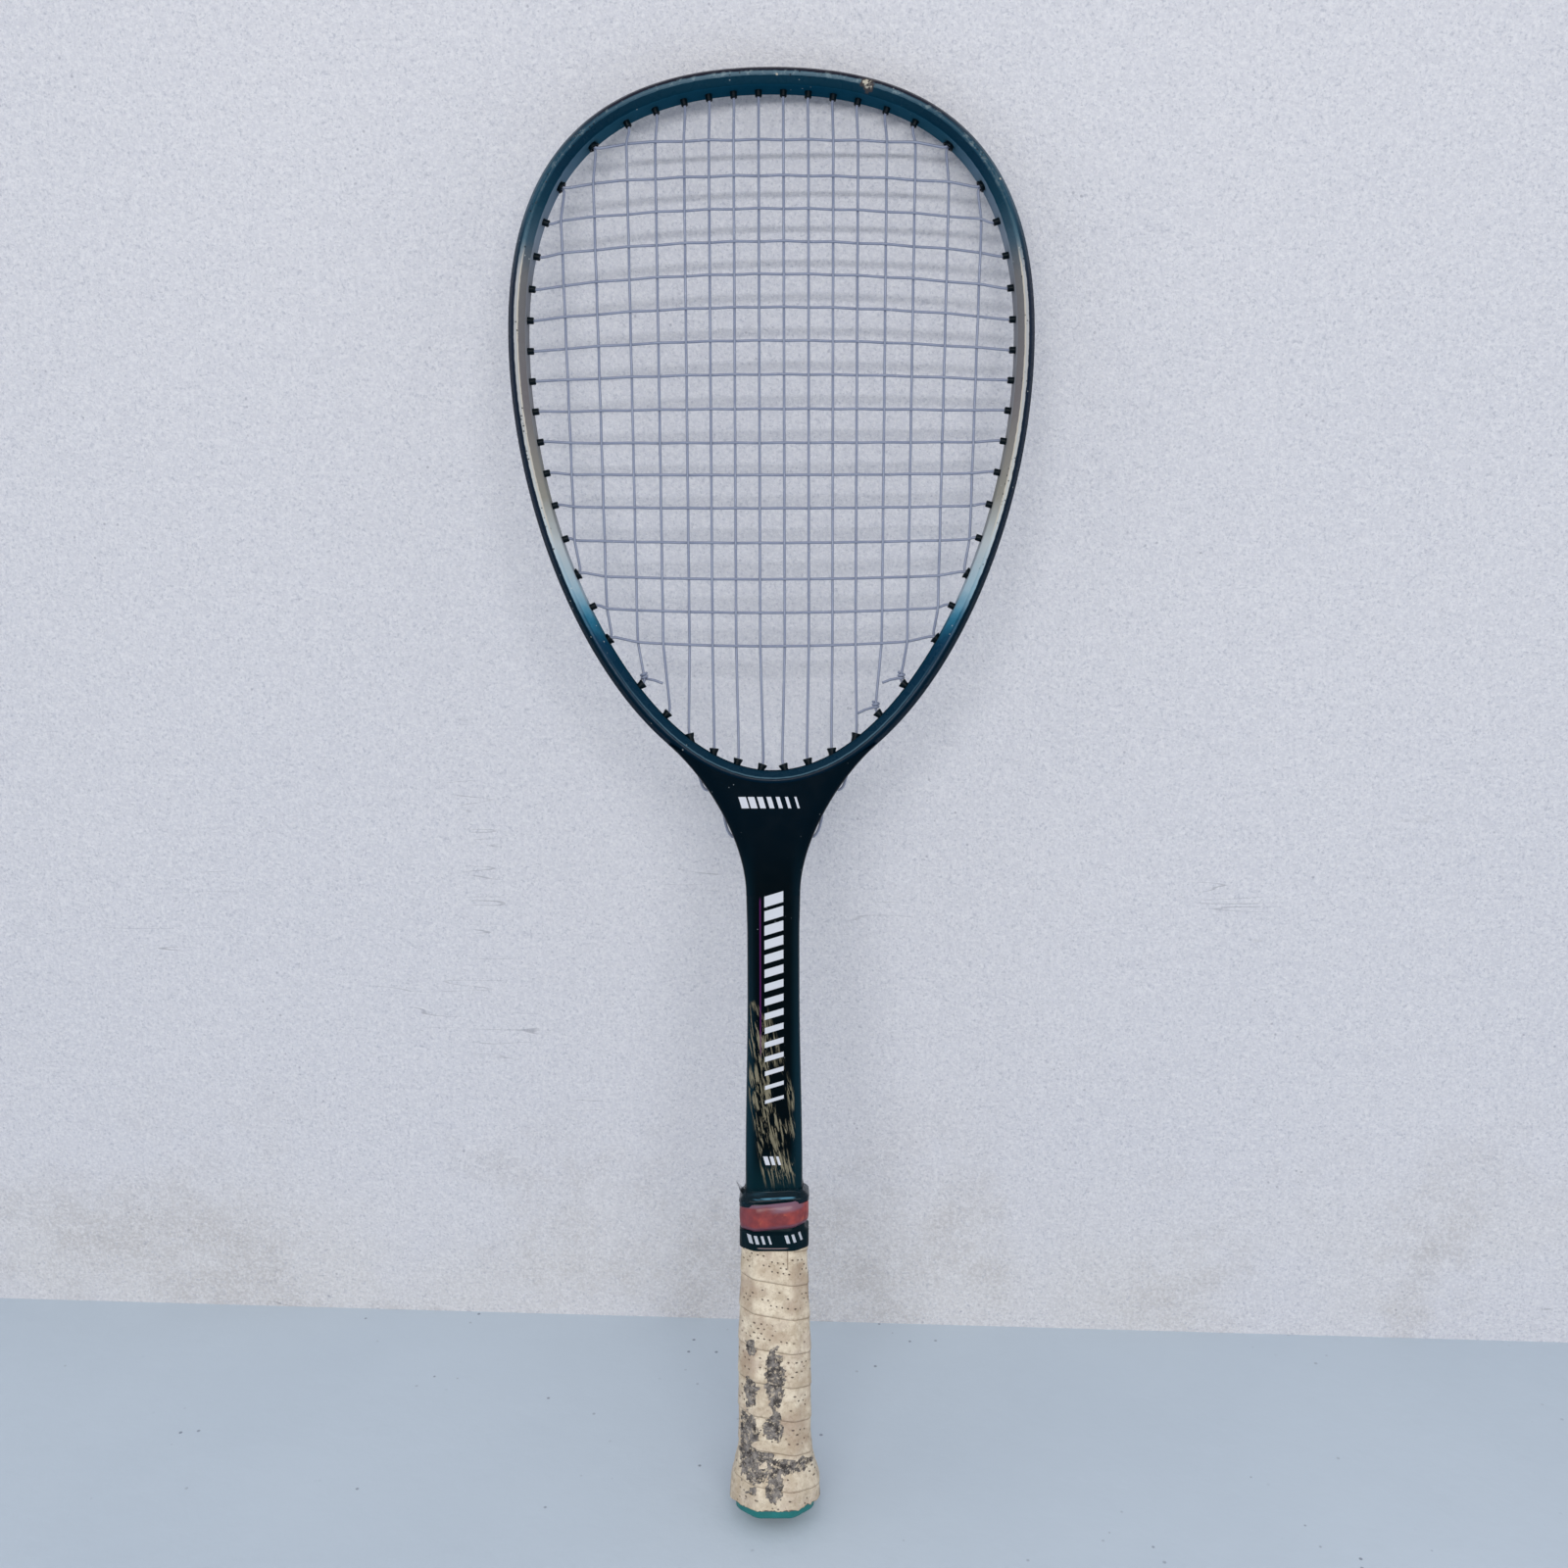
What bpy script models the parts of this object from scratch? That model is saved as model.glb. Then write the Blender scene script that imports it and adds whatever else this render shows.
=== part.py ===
"""Soft tennis racket, standing upright on its butt end.

Axes: +Z from the butt to the tip of the head, +X across the face, the photographed face towards -Y.
The origin is the middle of the flat butt end. Units are metres.

The inner wall of the hoop is the reference line of the head. A place on it is a number along the rim:
0 at the tip, positive down the right side, negative down the left, RIM_END at the middle of the throat.
"""
from math import cos, pi, sin, sqrt

import bmesh
import bpy
from mathutils import Matrix, Vector

MM = 0.001

# Fits
CLEARANCE = 0.3 * MM
RUN_OUT = 4.0 * MM

# Head
OVERALL_LENGTH = 686.0 * MM
OPENING_WIDTH = 230.0 * MM
OPENING_LENGTH = 318.6 * MM
WIDEST_BELOW_TIP = 113.8 * MM
TIP_ROUNDNESS = 73.0 * MM
SHOULDER_ROUNDNESS = 82.0 * MM
FLANK_ROUNDNESS = 102.0 * MM
FOOT_ROUNDNESS = 58.5 * MM
RIM_STEPS = 16
HALVINGS = 40
CROSSING_ROUNDS = 3

# Hoop section: radial is across the rim, depth is front to back
HOOP_RADIAL = 8.2 * MM
HOOP_DEPTH = 20.0 * MM
INNER_WALL_WIDTH = 12.0 * MM
INNER_BEVEL = 2.3 * MM
OUTER_BEVEL = 3.0 * MM
OUTER_WALL_WIDTH = 11.0 * MM
FADE_FROM_THROAT = 70.0 * MM
FADE_FROM_TIP = 40.0 * MM
GROOVE_WIDTH = 6.1 * MM
GROOVE_DEPTH = 3.0 * MM

# Strings
STRING_RADIUS = 0.65 * MM
STRING_OFFSET = 0.8 * MM
STRING_TAIL = 8.0 * MM
MAINS_PER_SIDE = 8
MAIN_PITCH = 11.7 * MM
MAIN_TO_SIDE = 14.3 * MM
WIDER_PITCHES = (1.0, 1.0, 1.2, 1.2)
MAIN_CONVERGENCE = 0.12
SIDE_ROWS = 11
ROW_SPREAD = 0.18
BOW_HEIGHT = 7.0 * MM
BOW_SPAN = 150.0 * MM
BOW_FOOT = 45.0 * MM
SAG_DEPTH = 3.0 * MM

# Grommets
BARREL_RADIUS = 1.8 * MM
BORE_RADIUS = 1.05 * MM
SHARED_BARREL_RADIUS = 2.5 * MM
SHARED_BORE_RADIUS = 1.85 * MM
BARREL_STAND = 3.0 * MM
MOUTH_LEAD = 0.8 * MM
STRIP_THICKNESS = 0.6 * MM
STRIP_WIDTH = 5.5 * MM
STRING_OVER_STRIP = 0.45 * MM
SHARED_TILT = 0.28
STRIP_END = 0.35
ROOT_SINK = 0.1 * MM
SEARCH_REACH = 1.5
ROUND_SIDES = 8
BORE_SIDES = 6

# Throat
THROAT_LENGTH = 51.0 * MM
SHOULDER_HALF_WIDTH = 49.5 * MM
SHOULDER_PULL = 22.0 * MM
WAIST_PULL = 27.0 * MM
THROAT_STATIONS = 12
LIP_LAP = 0.7 * MM
TONGUE_LENGTH = 24.0 * MM
EXIT_DROPS = (16.0 * MM, 22.5 * MM, 33.8 * MM, 45.6 * MM)
EDGE_SLOT_WIDTH = 7.2 * MM
EDGE_SLOT_DEPTH = 1.3 * MM
EDGE_STRIP_THICKNESS = 0.8 * MM
EDGE_STRIP_MARGIN = 4.5 * MM
EDGE_STEPS = 12
LOOP_RUN = 3.0 * MM
LOOP_RISE = 1.4 * MM
LOOP_LIFT_SHARE = 0.35

# Shaft
SHAFT_TOP_WIDTH = 25.8 * MM
SHAFT_WIDTH = 25.0 * MM
SHAFT_LOW_WIDTH = 27.4 * MM
SHAFT_DEPTH = 17.2 * MM
SHAFT_CORNER = 4.2 * MM
SHAFT_WALL = 1.8 * MM
NECK_WIDTH = 22.0 * MM
NECK_DEPTH = 15.0 * MM
WAIST_DROP = 19.0 * MM
TAPER_TOP = 256.0 * MM
TAPER_FOOT = 166.0 * MM

# Handle: one octagon, grown or shrunk along its length
HANDLE_TOP = 153.0 * MM
HANDLE_WIDTH = 29.8 * MM
HANDLE_DEPTH = 25.4 * MM
HANDLE_BEVEL = 6.0 * MM
HANDLE_EDGE = 1.5 * MM
HANDLE_TAPER = 1.6 * MM
TAPER_START = 80.0 * MM
TAPER_END = 124.0 * MM
FLARE = 4.15 * MM
FLARE_EDGE = 1.2 * MM
FLARE_LOW = 14.0 * MM
FLARE_TOP = 34.0 * MM
FLARE_CURVE = ((0.25, 0.55), (0.5, 0.28), (0.75, 0.08))
CAP_HEIGHT = 30.0 * MM
CAP_WALL = 1.6 * MM
CAP_FLOOR = 3.0 * MM
BADGE_RADIUS = 10.0 * MM
BADGE_THICKNESS = 1.2 * MM
DISC_SIDES = 24

# Grip layers
UNDERLAY_THICKNESS = 1.1 * MM
UNDERLAY_FOOT = 5.0 * MM
UNDERLAY_DROP = 1.0 * MM
WRAP_THICKNESS = 0.9 * MM
WRAP_LAP_RISE = 0.4 * MM
WRAP_LEAD = 16.5 * MM
WRAP_SEAM = 0.5 * MM
WRAP_TOP = 138.2 * MM
WRAP_FOOT = 3.0 * MM
TAPE_THICKNESS = 0.35 * MM
TAPE_WIDTH = 7.9 * MM
TAPE_LAP = 7.9 * MM
BAND_THICKNESS = 1.5 * MM
BAND_WIDTH = 12.5 * MM
BAND_SLANT = 0.1
BAND_EDGE = 0.4 * MM
FILM_THICKNESS = 0.4 * MM
FILM_RISE = 5.0 * MM
FLAP_LENGTH = 4.2 * MM
FLAP_REACH = 2.6 * MM
FLAP_DEPTH = 5.0 * MM

# Knots
KNOT_TURNS = 1.5
KNOT_STEPS = 8
TAIL_TO_NEXT_MAIN = 3.5 * MM
KNOT_SELF_GAP = 0.5 * MM
KNOT_PULL = 0.6
TAIL_BEND = 0.2

# How a route's least gap to itself is measured
GAP_STEP = 2.0 * MM
GAP_REACH = 6.0 * MM

# Places that follow from the sizes above
RIM_END = 2 * RIM_STEPS
OPENING_TOP = OVERALL_LENGTH - HOOP_RADIAL
OPENING_BOTTOM = OPENING_TOP - OPENING_LENGTH
WIDEST_HEIGHT = OPENING_TOP - WIDEST_BELOW_TIP
THROAT_TOP = OPENING_BOTTOM - HOOP_RADIAL
THROAT_BOTTOM = THROAT_TOP - THROAT_LENGTH
GROOVE_FLOOR = HOOP_RADIAL - GROOVE_DEPTH
STRIP_FACE = GROOVE_FLOOR + CLEARANCE + STRIP_THICKNESS
STRING_LINE = STRIP_FACE + STRING_OVER_STRIP + STRING_RADIUS
KNOT_RISE = 2 * STRING_RADIUS + KNOT_SELF_GAP
UNDERLAY_FACE = CLEARANCE + UNDERLAY_THICKNESS
WRAP_BACK = UNDERLAY_FACE + CLEARANCE
WRAP_FACE = WRAP_BACK + WRAP_LAP_RISE + WRAP_THICKNESS

TEAL = (0.010, 0.065, 0.085, 1)
CREAM_PAINT = (0.62, 0.60, 0.52, 1)
BLACK = (0.006, 0.008, 0.013, 1)
GROMMET_BLACK = (0.012, 0.014, 0.016, 1)
STRING_GREY = (0.30, 0.33, 0.47, 1)
FOAM = (0.55, 0.50, 0.36, 1)
WOOD_FOAM = (0.42, 0.33, 0.20, 1)
CAP_GREEN = (0.010, 0.20, 0.17, 1)
UNDERLAY_GREY = (0.14, 0.13, 0.14, 1)
GRIP_CREAM = (0.66, 0.57, 0.42, 1)
TAPE_BLACK = (0.008, 0.022, 0.026, 1)
BAND_RED = (0.36, 0.035, 0.035, 1)
FILM_CLEAR = (0.10, 0.16, 0.19, 1)


# Scene helpers
def clear_scene():
    for item in list(bpy.data.objects):
        bpy.data.objects.remove(item, do_unlink=True)


def new_collection(name):
    collection = bpy.data.collections.new(name)
    bpy.context.scene.collection.children.link(collection)
    return collection


def plain_material(name, colour, roughness, metallic=0.0):
    material = bpy.data.materials.new(name)
    material.use_nodes = True
    shader = material.node_tree.nodes["Principled BSDF"]
    shader.inputs["Base Color"].default_value = colour
    shader.inputs["Roughness"].default_value = roughness
    shader.inputs["Metallic"].default_value = metallic
    material.diffuse_color = colour
    return material


def faded_material(name, ends, middle, roughness, low, high):
    """Paint that fades from one colour at both ends to another between two heights."""
    material = plain_material(name, ends, roughness)
    nodes = material.node_tree.nodes
    links = material.node_tree.links
    place = nodes.new("ShaderNodeNewGeometry")
    split = nodes.new("ShaderNodeSeparateXYZ")
    level = nodes.new("ShaderNodeMapRange")
    level.inputs["From Min"].default_value = low
    level.inputs["From Max"].default_value = high
    ramp = nodes.new("ShaderNodeValToRGB").color_ramp
    ramp.elements[0].color = ends
    ramp.elements[1].color = ends
    for position in (0.22, 0.78):
        ramp.elements.new(position).color = middle
    links.new(place.outputs["Position"], split.inputs[0])
    links.new(split.outputs["Z"], level.inputs["Value"])
    links.new(level.outputs["Result"], nodes["Color Ramp"].inputs["Fac"])
    links.new(nodes["Color Ramp"].outputs["Color"], nodes["Principled BSDF"].inputs["Base Color"])
    return material


def add_object(name, data, collection, material=None):
    item = bpy.data.objects.new(name, data)
    collection.objects.link(item)
    if material:
        data.materials.append(material)
    return item


def mark_helper(item):
    item.hide_render = True
    item.display_type = "WIRE"
    return item


def shade(item, degrees=35):
    item.data.shade_smooth()
    item.data.set_sharp_from_angle(angle=degrees * pi / 180)


def combine(item, other, operation, solver="EXACT"):
    """Add a Boolean of one object with another, which stays as a helper. Joined bodies may meet each other."""
    modifier = item.modifiers.new(operation.lower() + " " + other.name, "BOOLEAN")
    modifier.operation = operation
    modifier.object = other
    modifier.solver = solver
    modifier.use_self = operation == "UNION"


def mesh_from_bmesh(name, work):
    """A mesh whose faces point outwards, also where it is thin and bent."""
    bmesh.ops.recalc_face_normals(work, faces=work.faces)
    if work.calc_volume(signed=True) < 0:
        bmesh.ops.reverse_faces(work, faces=work.faces)
    mesh = bpy.data.meshes.new(name)
    work.to_mesh(mesh)
    work.free()
    return mesh


def mesh_from_curve(curve_item):
    """Turn a curve object into a closed mesh in world space and remove the curve."""
    bpy.context.view_layer.update()
    graph = bpy.context.evaluated_depsgraph_get()
    mesh = bpy.data.meshes.new_from_object(curve_item.evaluated_get(graph))
    work = bmesh.new()
    work.from_mesh(mesh)
    work.transform(curve_item.matrix_world)
    bmesh.ops.remove_doubles(work, verts=work.verts, dist=0.001 * MM)
    bpy.data.objects.remove(curve_item, do_unlink=True)
    return mesh_from_bmesh(mesh.name, work)


def plate_mesh(name, outline, half_depth):
    """A flat XZ outline, extruded to both sides along Y."""
    curve = bpy.data.curves.new(name, "CURVE")
    curve.dimensions = "2D"
    curve.fill_mode = "BOTH"
    curve.extrude = half_depth
    spline = curve.splines.new("POLY")
    spline.points.add(len(outline) - 1)
    for point, (x, z) in zip(spline.points, outline):
        point.co = (x, z, 0, 1)
    spline.use_cyclic_u = True
    item = add_object(name, curve, HELPERS)
    item.rotation_euler = (pi / 2, 0, 0)
    return mesh_from_curve(item)


def loft_mesh(name, rings, inner_rings=None):
    """Skin closed rings of equal length. With inner rings the result is a sleeve, else its ends are capped."""
    work = bmesh.new()
    loops = list(rings)
    if inner_rings:
        loops += list(reversed(inner_rings))
    layers = [[work.verts.new(point) for point in ring] for ring in loops]
    pairs = list(zip(layers, layers[1:]))
    if inner_rings:
        pairs.append((layers[-1], layers[0]))
    else:
        work.faces.new(layers[0])
        work.faces.new(layers[-1])
    count = len(layers[0])
    for low, high in pairs:
        for i in range(count):
            j = (i + 1) % count
            work.faces.new((low[i], low[j], high[j], high[i]))
    return mesh_from_bmesh(name, work)


def add_cylinder(work, start, end, radius, sides=ROUND_SIDES):
    """A closed cylinder between two points, with a flat side towards +Y and -Y."""
    axis = (end - start).normalized()
    across = axis.cross(Vector((0, 1, 0))).normalized()
    turn = Matrix((across, axis.cross(across), axis)).transposed().to_4x4()
    spin = Matrix.Rotation(pi / sides, 4, "Z")
    place = Matrix.Translation((start + end) / 2) @ turn @ spin
    bmesh.ops.create_cone(work, cap_ends=True, segments=sides, radius1=radius, radius2=radius,
                          depth=(end - start).length, matrix=place)


def tube_object(name, points, radius, material, bevel_resolution=0):
    curve = bpy.data.curves.new(name, "CURVE")
    curve.dimensions = "3D"
    curve.bevel_depth = radius
    curve.bevel_resolution = bevel_resolution
    curve.use_fill_caps = True
    curve.render_resolution_u = 0
    spline = curve.splines.new("POLY")
    spline.points.add(len(points) - 1)
    for point, place in zip(spline.points, points):
        point.co = (*place, 1)
    return add_object(name, curve, PARTS, material)


# The rim line
def rim_corners():
    """The four-point egg of the opening, right half: each corner has its place and its two handles."""
    tip = Vector((0, OPENING_TOP))
    side = Vector((OPENING_WIDTH / 2, WIDEST_HEIGHT))
    foot = Vector((0, OPENING_BOTTOM))
    upper = (tip, tip + Vector((TIP_ROUNDNESS, 0)), side + Vector((0, SHOULDER_ROUNDNESS)), side)
    lower = (side, side - Vector((0, FLANK_ROUNDNESS)), foot + Vector((FOOT_ROUNDNESS, 0)), foot)
    return upper, lower


def bezier_point(corners, t):
    a, b, c, d = corners
    s = 1 - t
    return a * s ** 3 + b * 3 * s * s * t + c * 3 * s * t * t + d * t ** 3


def rim_samples():
    points = []
    for corners in rim_corners():
        points += [bezier_point(corners, i / RIM_STEPS) for i in range(RIM_STEPS)]
    points.append(rim_corners()[1][3])
    return points


def rim_normals(points):
    """Outward unit normals, each across the mean direction of the two steps that meet there."""
    mirrored = [Vector((-points[1].x, points[1].y))] + points + [Vector((-points[-2].x, points[-2].y))]
    normals = []
    for before, here, after in zip(mirrored, mirrored[1:], mirrored[2:]):
        along = (here - before).normalized() + (after - here).normalized()
        normals.append(Vector((-along.y, along.x)).normalized())
    return normals


RIM_POINTS = rim_samples()
RIM_NORMALS = rim_normals(RIM_POINTS)


def rim_place(place, out=0.0):
    """The XZ point at a place along the rim, moved outwards from the inner wall."""
    share = min(abs(place), RIM_END - 1e-9)
    index = int(share)
    low = RIM_POINTS[index] + RIM_NORMALS[index] * out
    high = RIM_POINTS[index + 1] + RIM_NORMALS[index + 1] * out
    point = low.lerp(high, share - index)
    if place < 0:
        point.x = -point.x
    return point


def rim_normal(place):
    return (rim_place(place, 1.0) - rim_place(place, 0.0)).normalized()


def find_zero(measure, start, end):
    """Where a measure changes sign between two values, by halving."""
    low, high = start, end
    for _ in range(HALVINGS):
        middle = (low + high) / 2
        if (measure(low) > 0) == (measure(middle) > 0):
            low = middle
        else:
            high = middle
    return (low + high) / 2


def rim_outline(out):
    """The whole egg as XZ points, moved outwards."""
    right = [rim_place(i, out) for i in range(RIM_END)]
    foot = rim_place(RIM_END, out)
    left = [rim_place(-i, out) for i in range(RIM_END - 1, 0, -1)]
    return right + [foot] + left


# Hoop
def hoop_section(grow=0.0, groove=True):
    """Closed section as (out, depth) points, front half first."""
    half = HOOP_DEPTH / 2 + grow
    front = [(-grow, -INNER_WALL_WIDTH / 2),
             (INNER_BEVEL - grow / 2, -half),
             (HOOP_RADIAL - OUTER_BEVEL + grow / 2, -half),
             (HOOP_RADIAL + grow, -OUTER_WALL_WIDTH / 2)]
    if groove:
        front += [(HOOP_RADIAL, -GROOVE_WIDTH / 2), (GROOVE_FLOOR, -GROOVE_WIDTH / 2)]
    return front + [(out, -depth) for out, depth in reversed(front)]


def swept_hoop_mesh(name, section):
    """The section carried round the rim as a closed loft."""
    work = bmesh.new()
    stations = [i for i in range(RIM_END + 1)] + [-i for i in range(RIM_END - 1, 0, -1)]
    rings = []
    for station in stations:
        ring = []
        for out, depth in section:
            point = rim_place(station, out)
            ring.append(work.verts.new((point.x, depth, point.y)))
        rings.append(ring)
    count = len(section)
    for ring, following in zip(rings, rings[1:] + rings[:1]):
        for i in range(count):
            j = (i + 1) % count
            work.faces.new((ring[i], ring[j], following[j], following[i]))
    return mesh_from_bmesh(name, work)


# String layout
def main_top_x(index):
    """Distance of a main from the middle at the tip, index 0 for the innermost: the outer ones stand wider."""
    close = MAINS_PER_SIDE - len(WIDER_PITCHES)
    if index < close:
        return MAIN_PITCH * (index + 0.5)
    inner = MAIN_PITCH * (close - 0.5)
    outer = OPENING_WIDTH / 2 - MAIN_TO_SIDE
    share = sum(WIDER_PITCHES[:index - close + 1]) / sum(WIDER_PITCHES)
    return inner + (outer - inner) * share


def main_x(index, height):
    """The mains draw together towards the throat, the outer ones most."""
    share = (OPENING_TOP - height) / OPENING_LENGTH
    top = main_top_x(index)
    return top * (1 - MAIN_CONVERGENCE * share * top / (OPENING_WIDTH / 2))


def main_places(index):
    """Rim places of a main's upper and lower hole on the right side."""
    def beside(place):
        point = rim_place(place)
        return point.x - main_x(index, point.y)
    return find_zero(beside, 0, RIM_STEPS), find_zero(beside, RIM_STEPS, RIM_END)


def height_place(height):
    return find_zero(lambda place: rim_place(place).y - height, 0, RIM_END)


OUTER_MAIN = MAINS_PER_SIDE - 1
SECOND_MAIN = MAINS_PER_SIDE - 2
MAIN_PLACES = [main_places(index) for index in range(MAINS_PER_SIDE)]


def row_places():
    """Rim places of the level rows, top to bottom: closest in the middle. Two at each end share mains' holes."""
    first, second = MAIN_PLACES[SECOND_MAIN][0], MAIN_PLACES[OUTER_MAIN][0]
    low, last = MAIN_PLACES[OUTER_MAIN][1], MAIN_PLACES[SECOND_MAIN][1]
    top = rim_place(second).y
    bottom = rim_place(low).y
    middle = SIDE_ROWS / 2
    steps = [1 + ROW_SPREAD * ((i - middle) / middle) ** 2 for i in range(SIDE_ROWS + 1)]
    sides = [height_place(top - (top - bottom) * sum(steps[:i]) / sum(steps)) for i in range(1, SIDE_ROWS + 1)]
    between = height_place((bottom + rim_place(last).y) / 2)
    return [first, second] + sides + [low, between, last]


ROW_PLACES = row_places()
SHARED_PLACES = (MAIN_PLACES[SECOND_MAIN] + MAIN_PLACES[OUTER_MAIN])


def row_height(row, x):
    """Height of a row at x: the old strings bow up in the upper head and sag in the lower head."""
    hole = rim_place(ROW_PLACES[row])
    level = hole.y - (WIDEST_HEIGHT - BOW_FOOT)
    if level > 0:
        bow = BOW_HEIGHT * sin(pi * min(level / BOW_SPAN, 1))
    else:
        bow = SAG_DEPTH * level / (WIDEST_HEIGHT - BOW_FOOT - rim_place(ROW_PLACES[-1]).y)
    return hole.y + bow * (1 - (x / hole.x) ** 2)


def crossing(main, side, row):
    """Where a main meets a row, in XZ."""
    height = row_height(row, main_top_x(main))
    for _ in range(CROSSING_ROUNDS):
        x = main_x(main, height)
        height = row_height(row, x)
    return Vector((side * x, height))


def rows_of_main(main):
    """The rows that weave with a main: those that cross it clear of its two mouths."""
    margin = BARREL_STAND + MOUTH_LEAD + 2 * STRING_RADIUS
    upper, lower = (rim_place(place).y for place in MAIN_PLACES[main])
    rows = range(len(ROW_PLACES))
    return [row for row in rows if lower + margin < crossing(main, 1, row).y < upper - margin]


def weave(main, side, row):
    """+1 where the main passes behind the row, -1 where it passes in front."""
    column = main if side > 0 else -1 - main
    return 1 if (column + row) % 2 else -1


# Holes
class Hole:
    """One string hole: its rim place, its outward axis and the depth at which it is drilled."""

    def __init__(self, place, y, shared=False, tilt=0.0, end=None):
        wall = rim_place(place)
        normal = rim_normal(place)
        axis = Vector((normal.x, 0, normal.y))
        if end is not None:
            axis = Vector((end.x - wall.x, 0, end.y - wall.y)).normalized()
        elif tilt:
            axis = (axis - Vector((0, 0, tilt))).normalized()
        self.place = place
        self.wall = Vector((wall.x, y, wall.y))
        self.axis = axis
        self.end = end
        self.barrel = SHARED_BARREL_RADIUS if shared else BARREL_RADIUS
        self.bore = SHARED_BORE_RADIUS if shared else BORE_RADIUS
        self.lean = axis.dot(Vector((normal.x, 0, normal.y)))

    def at_out(self, out):
        """The point on the axis at an outward distance from the inner wall."""
        return self.wall + self.axis * (out / self.lean)

    def root(self, face):
        """Where the barrel ends, so that its rim stays just under a strip's outer face."""
        return self.at_out(face - ROOT_SINK - self.barrel * sqrt(1 - min(self.lean, 1) ** 2))

    def tip(self):
        return self.wall - self.axis * BARREL_STAND

    def mouth(self, y):
        point = self.tip() - self.axis * MOUTH_LEAD
        point.y = y
        return point

    def far_end(self):
        """Where the axis leaves the racket: the outer wall, or the throat's edge."""
        if self.end is None:
            return self.at_out(HOOP_RADIAL)
        return Vector((self.end.x, self.wall.y, self.end.y))


# Throat edge
def edge_corners():
    """The throat's right edge: it leaves the hoop's outer wall along that wall and ends at the shaft."""
    def beside(place):
        return rim_place(place, HOOP_RADIAL).x - SHOULDER_HALF_WIDTH
    place = find_zero(beside, RIM_STEPS, RIM_END)
    shoulder = rim_place(place, HOOP_RADIAL)
    waist = Vector((SHAFT_TOP_WIDTH / 2, THROAT_BOTTOM))
    down = rim_normal(place)
    along = Vector((down.y, -down.x))
    return shoulder, shoulder + along * SHOULDER_PULL, waist + Vector((0, WAIST_PULL)), waist


EDGE_CORNERS = edge_corners()


def edge_share(height):
    """Share along the throat's edge at a height."""
    return find_zero(lambda share: bezier_point(EDGE_CORNERS, share).y - height, 0.0, 1.0)


def edge_place(share, out=0.0):
    """XZ point on the throat's right edge, moved outwards."""
    step = 0.001
    low = bezier_point(EDGE_CORNERS, max(share - step, 0))
    high = bezier_point(EDGE_CORNERS, min(share + step, 1))
    along = (high - low).normalized()
    return bezier_point(EDGE_CORNERS, share) + Vector((-along.y, along.x)) * out


def throat_depth(height):
    share = max(0.0, min(1.0, (height - THROAT_BOTTOM) / THROAT_LENGTH))
    return SHAFT_DEPTH / 2 + (HOOP_DEPTH - SHAFT_DEPTH) / 2 * share


EXIT_SHARES = [edge_share(EDGE_CORNERS[0].y - drop) for drop in EXIT_DROPS]
EDGE_STRING_LINE = -EDGE_SLOT_DEPTH + CLEARANCE + EDGE_STRIP_THICKNESS + STRING_OVER_STRIP + STRING_RADIUS


def throat_end(main, side):
    """XZ point where a main's tunnel meets the throat's edge: main 0, the innermost, leaves lowest."""
    point = edge_place(EXIT_SHARES[len(EXIT_DROPS) - 1 - main])
    return Vector((side * point.x, point.y))


def is_throat_main(main):
    return main < len(EXIT_DROPS)


def main_hole(main, side, upper):
    place = MAIN_PLACES[main][0 if upper else 1]
    shared = main >= SECOND_MAIN
    y = 0.0 if shared else STRING_OFFSET
    if not upper and is_throat_main(main):
        return Hole(side * place, y, end=throat_end(main, side))
    return Hole(side * place, y, shared, tilt=0.0 if upper or not shared else SHARED_TILT)


def row_hole(row, side):
    """The hole of a row, or None where it uses a main's hole."""
    place = ROW_PLACES[row]
    if place in SHARED_PLACES:
        main = SECOND_MAIN if place in MAIN_PLACES[SECOND_MAIN] else OUTER_MAIN
        return main_hole(main, side, place < RIM_STEPS)
    return Hole(side * place, -STRING_OFFSET)


# String routes
def groove_route(start, end, y):
    """Points along the string line in the groove between two rim places."""
    steps = range(-RIM_END, RIM_END + 1)
    low, high = min(start, end), max(start, end)
    places = [start] + sorted((i for i in steps if low < i < high), reverse=start > end) + [end]
    points = []
    for place in places:
        point = rim_place(place, STRING_LINE)
        points.append(Vector((point.x, y, point.y)))
    return points


def place_beyond(hole):
    """Rim place at which a hole's axis crosses the string line."""
    side = 1 if hole.place > 0 else -1

    def beside(place):
        reach = rim_place(place, STRING_LINE) - Vector((side * hole.wall.x, hole.wall.z))
        return reach.x * hole.axis.z - reach.y * side * hole.axis.x
    return side * find_zero(beside, side * hole.place - SEARCH_REACH, side * hole.place + SEARCH_REACH)


def share_on_axis(main, out):
    """Share along the throat's right edge where a main's tunnel axis crosses a line off the edge."""
    hole = main_hole(main, 1, False)

    def beside(share):
        reach = edge_place(share, out) - Vector((hole.wall.x, hole.wall.z))
        return reach.x * hole.axis.z - reach.y * hole.axis.x
    return find_zero(beside, 0.0, 1.0)


def edge_route(side, main, y):
    """The bare loop on the throat's edge: from a main's exit down to the next main's, where it turns back in."""
    upper = share_on_axis(main, EDGE_STRING_LINE)
    lower = share_on_axis(main - 1, EDGE_STRING_LINE)
    turn_back = lower - LOOP_RUN / (EDGE_CORNERS[0] - EDGE_CORNERS[3]).length
    lifted = LOOP_LIFT_SHARE * LOOP_RISE
    steps = ((upper, 0.0), ((upper + turn_back) / 2, 0.0), (turn_back, lifted), (lower, LOOP_RISE), (lower, 0.0))
    points = []
    for share, rise in steps:
        point = edge_place(share, EDGE_STRING_LINE + rise)
        points.append(Vector((side * point.x, y, point.y)))
    return points


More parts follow.
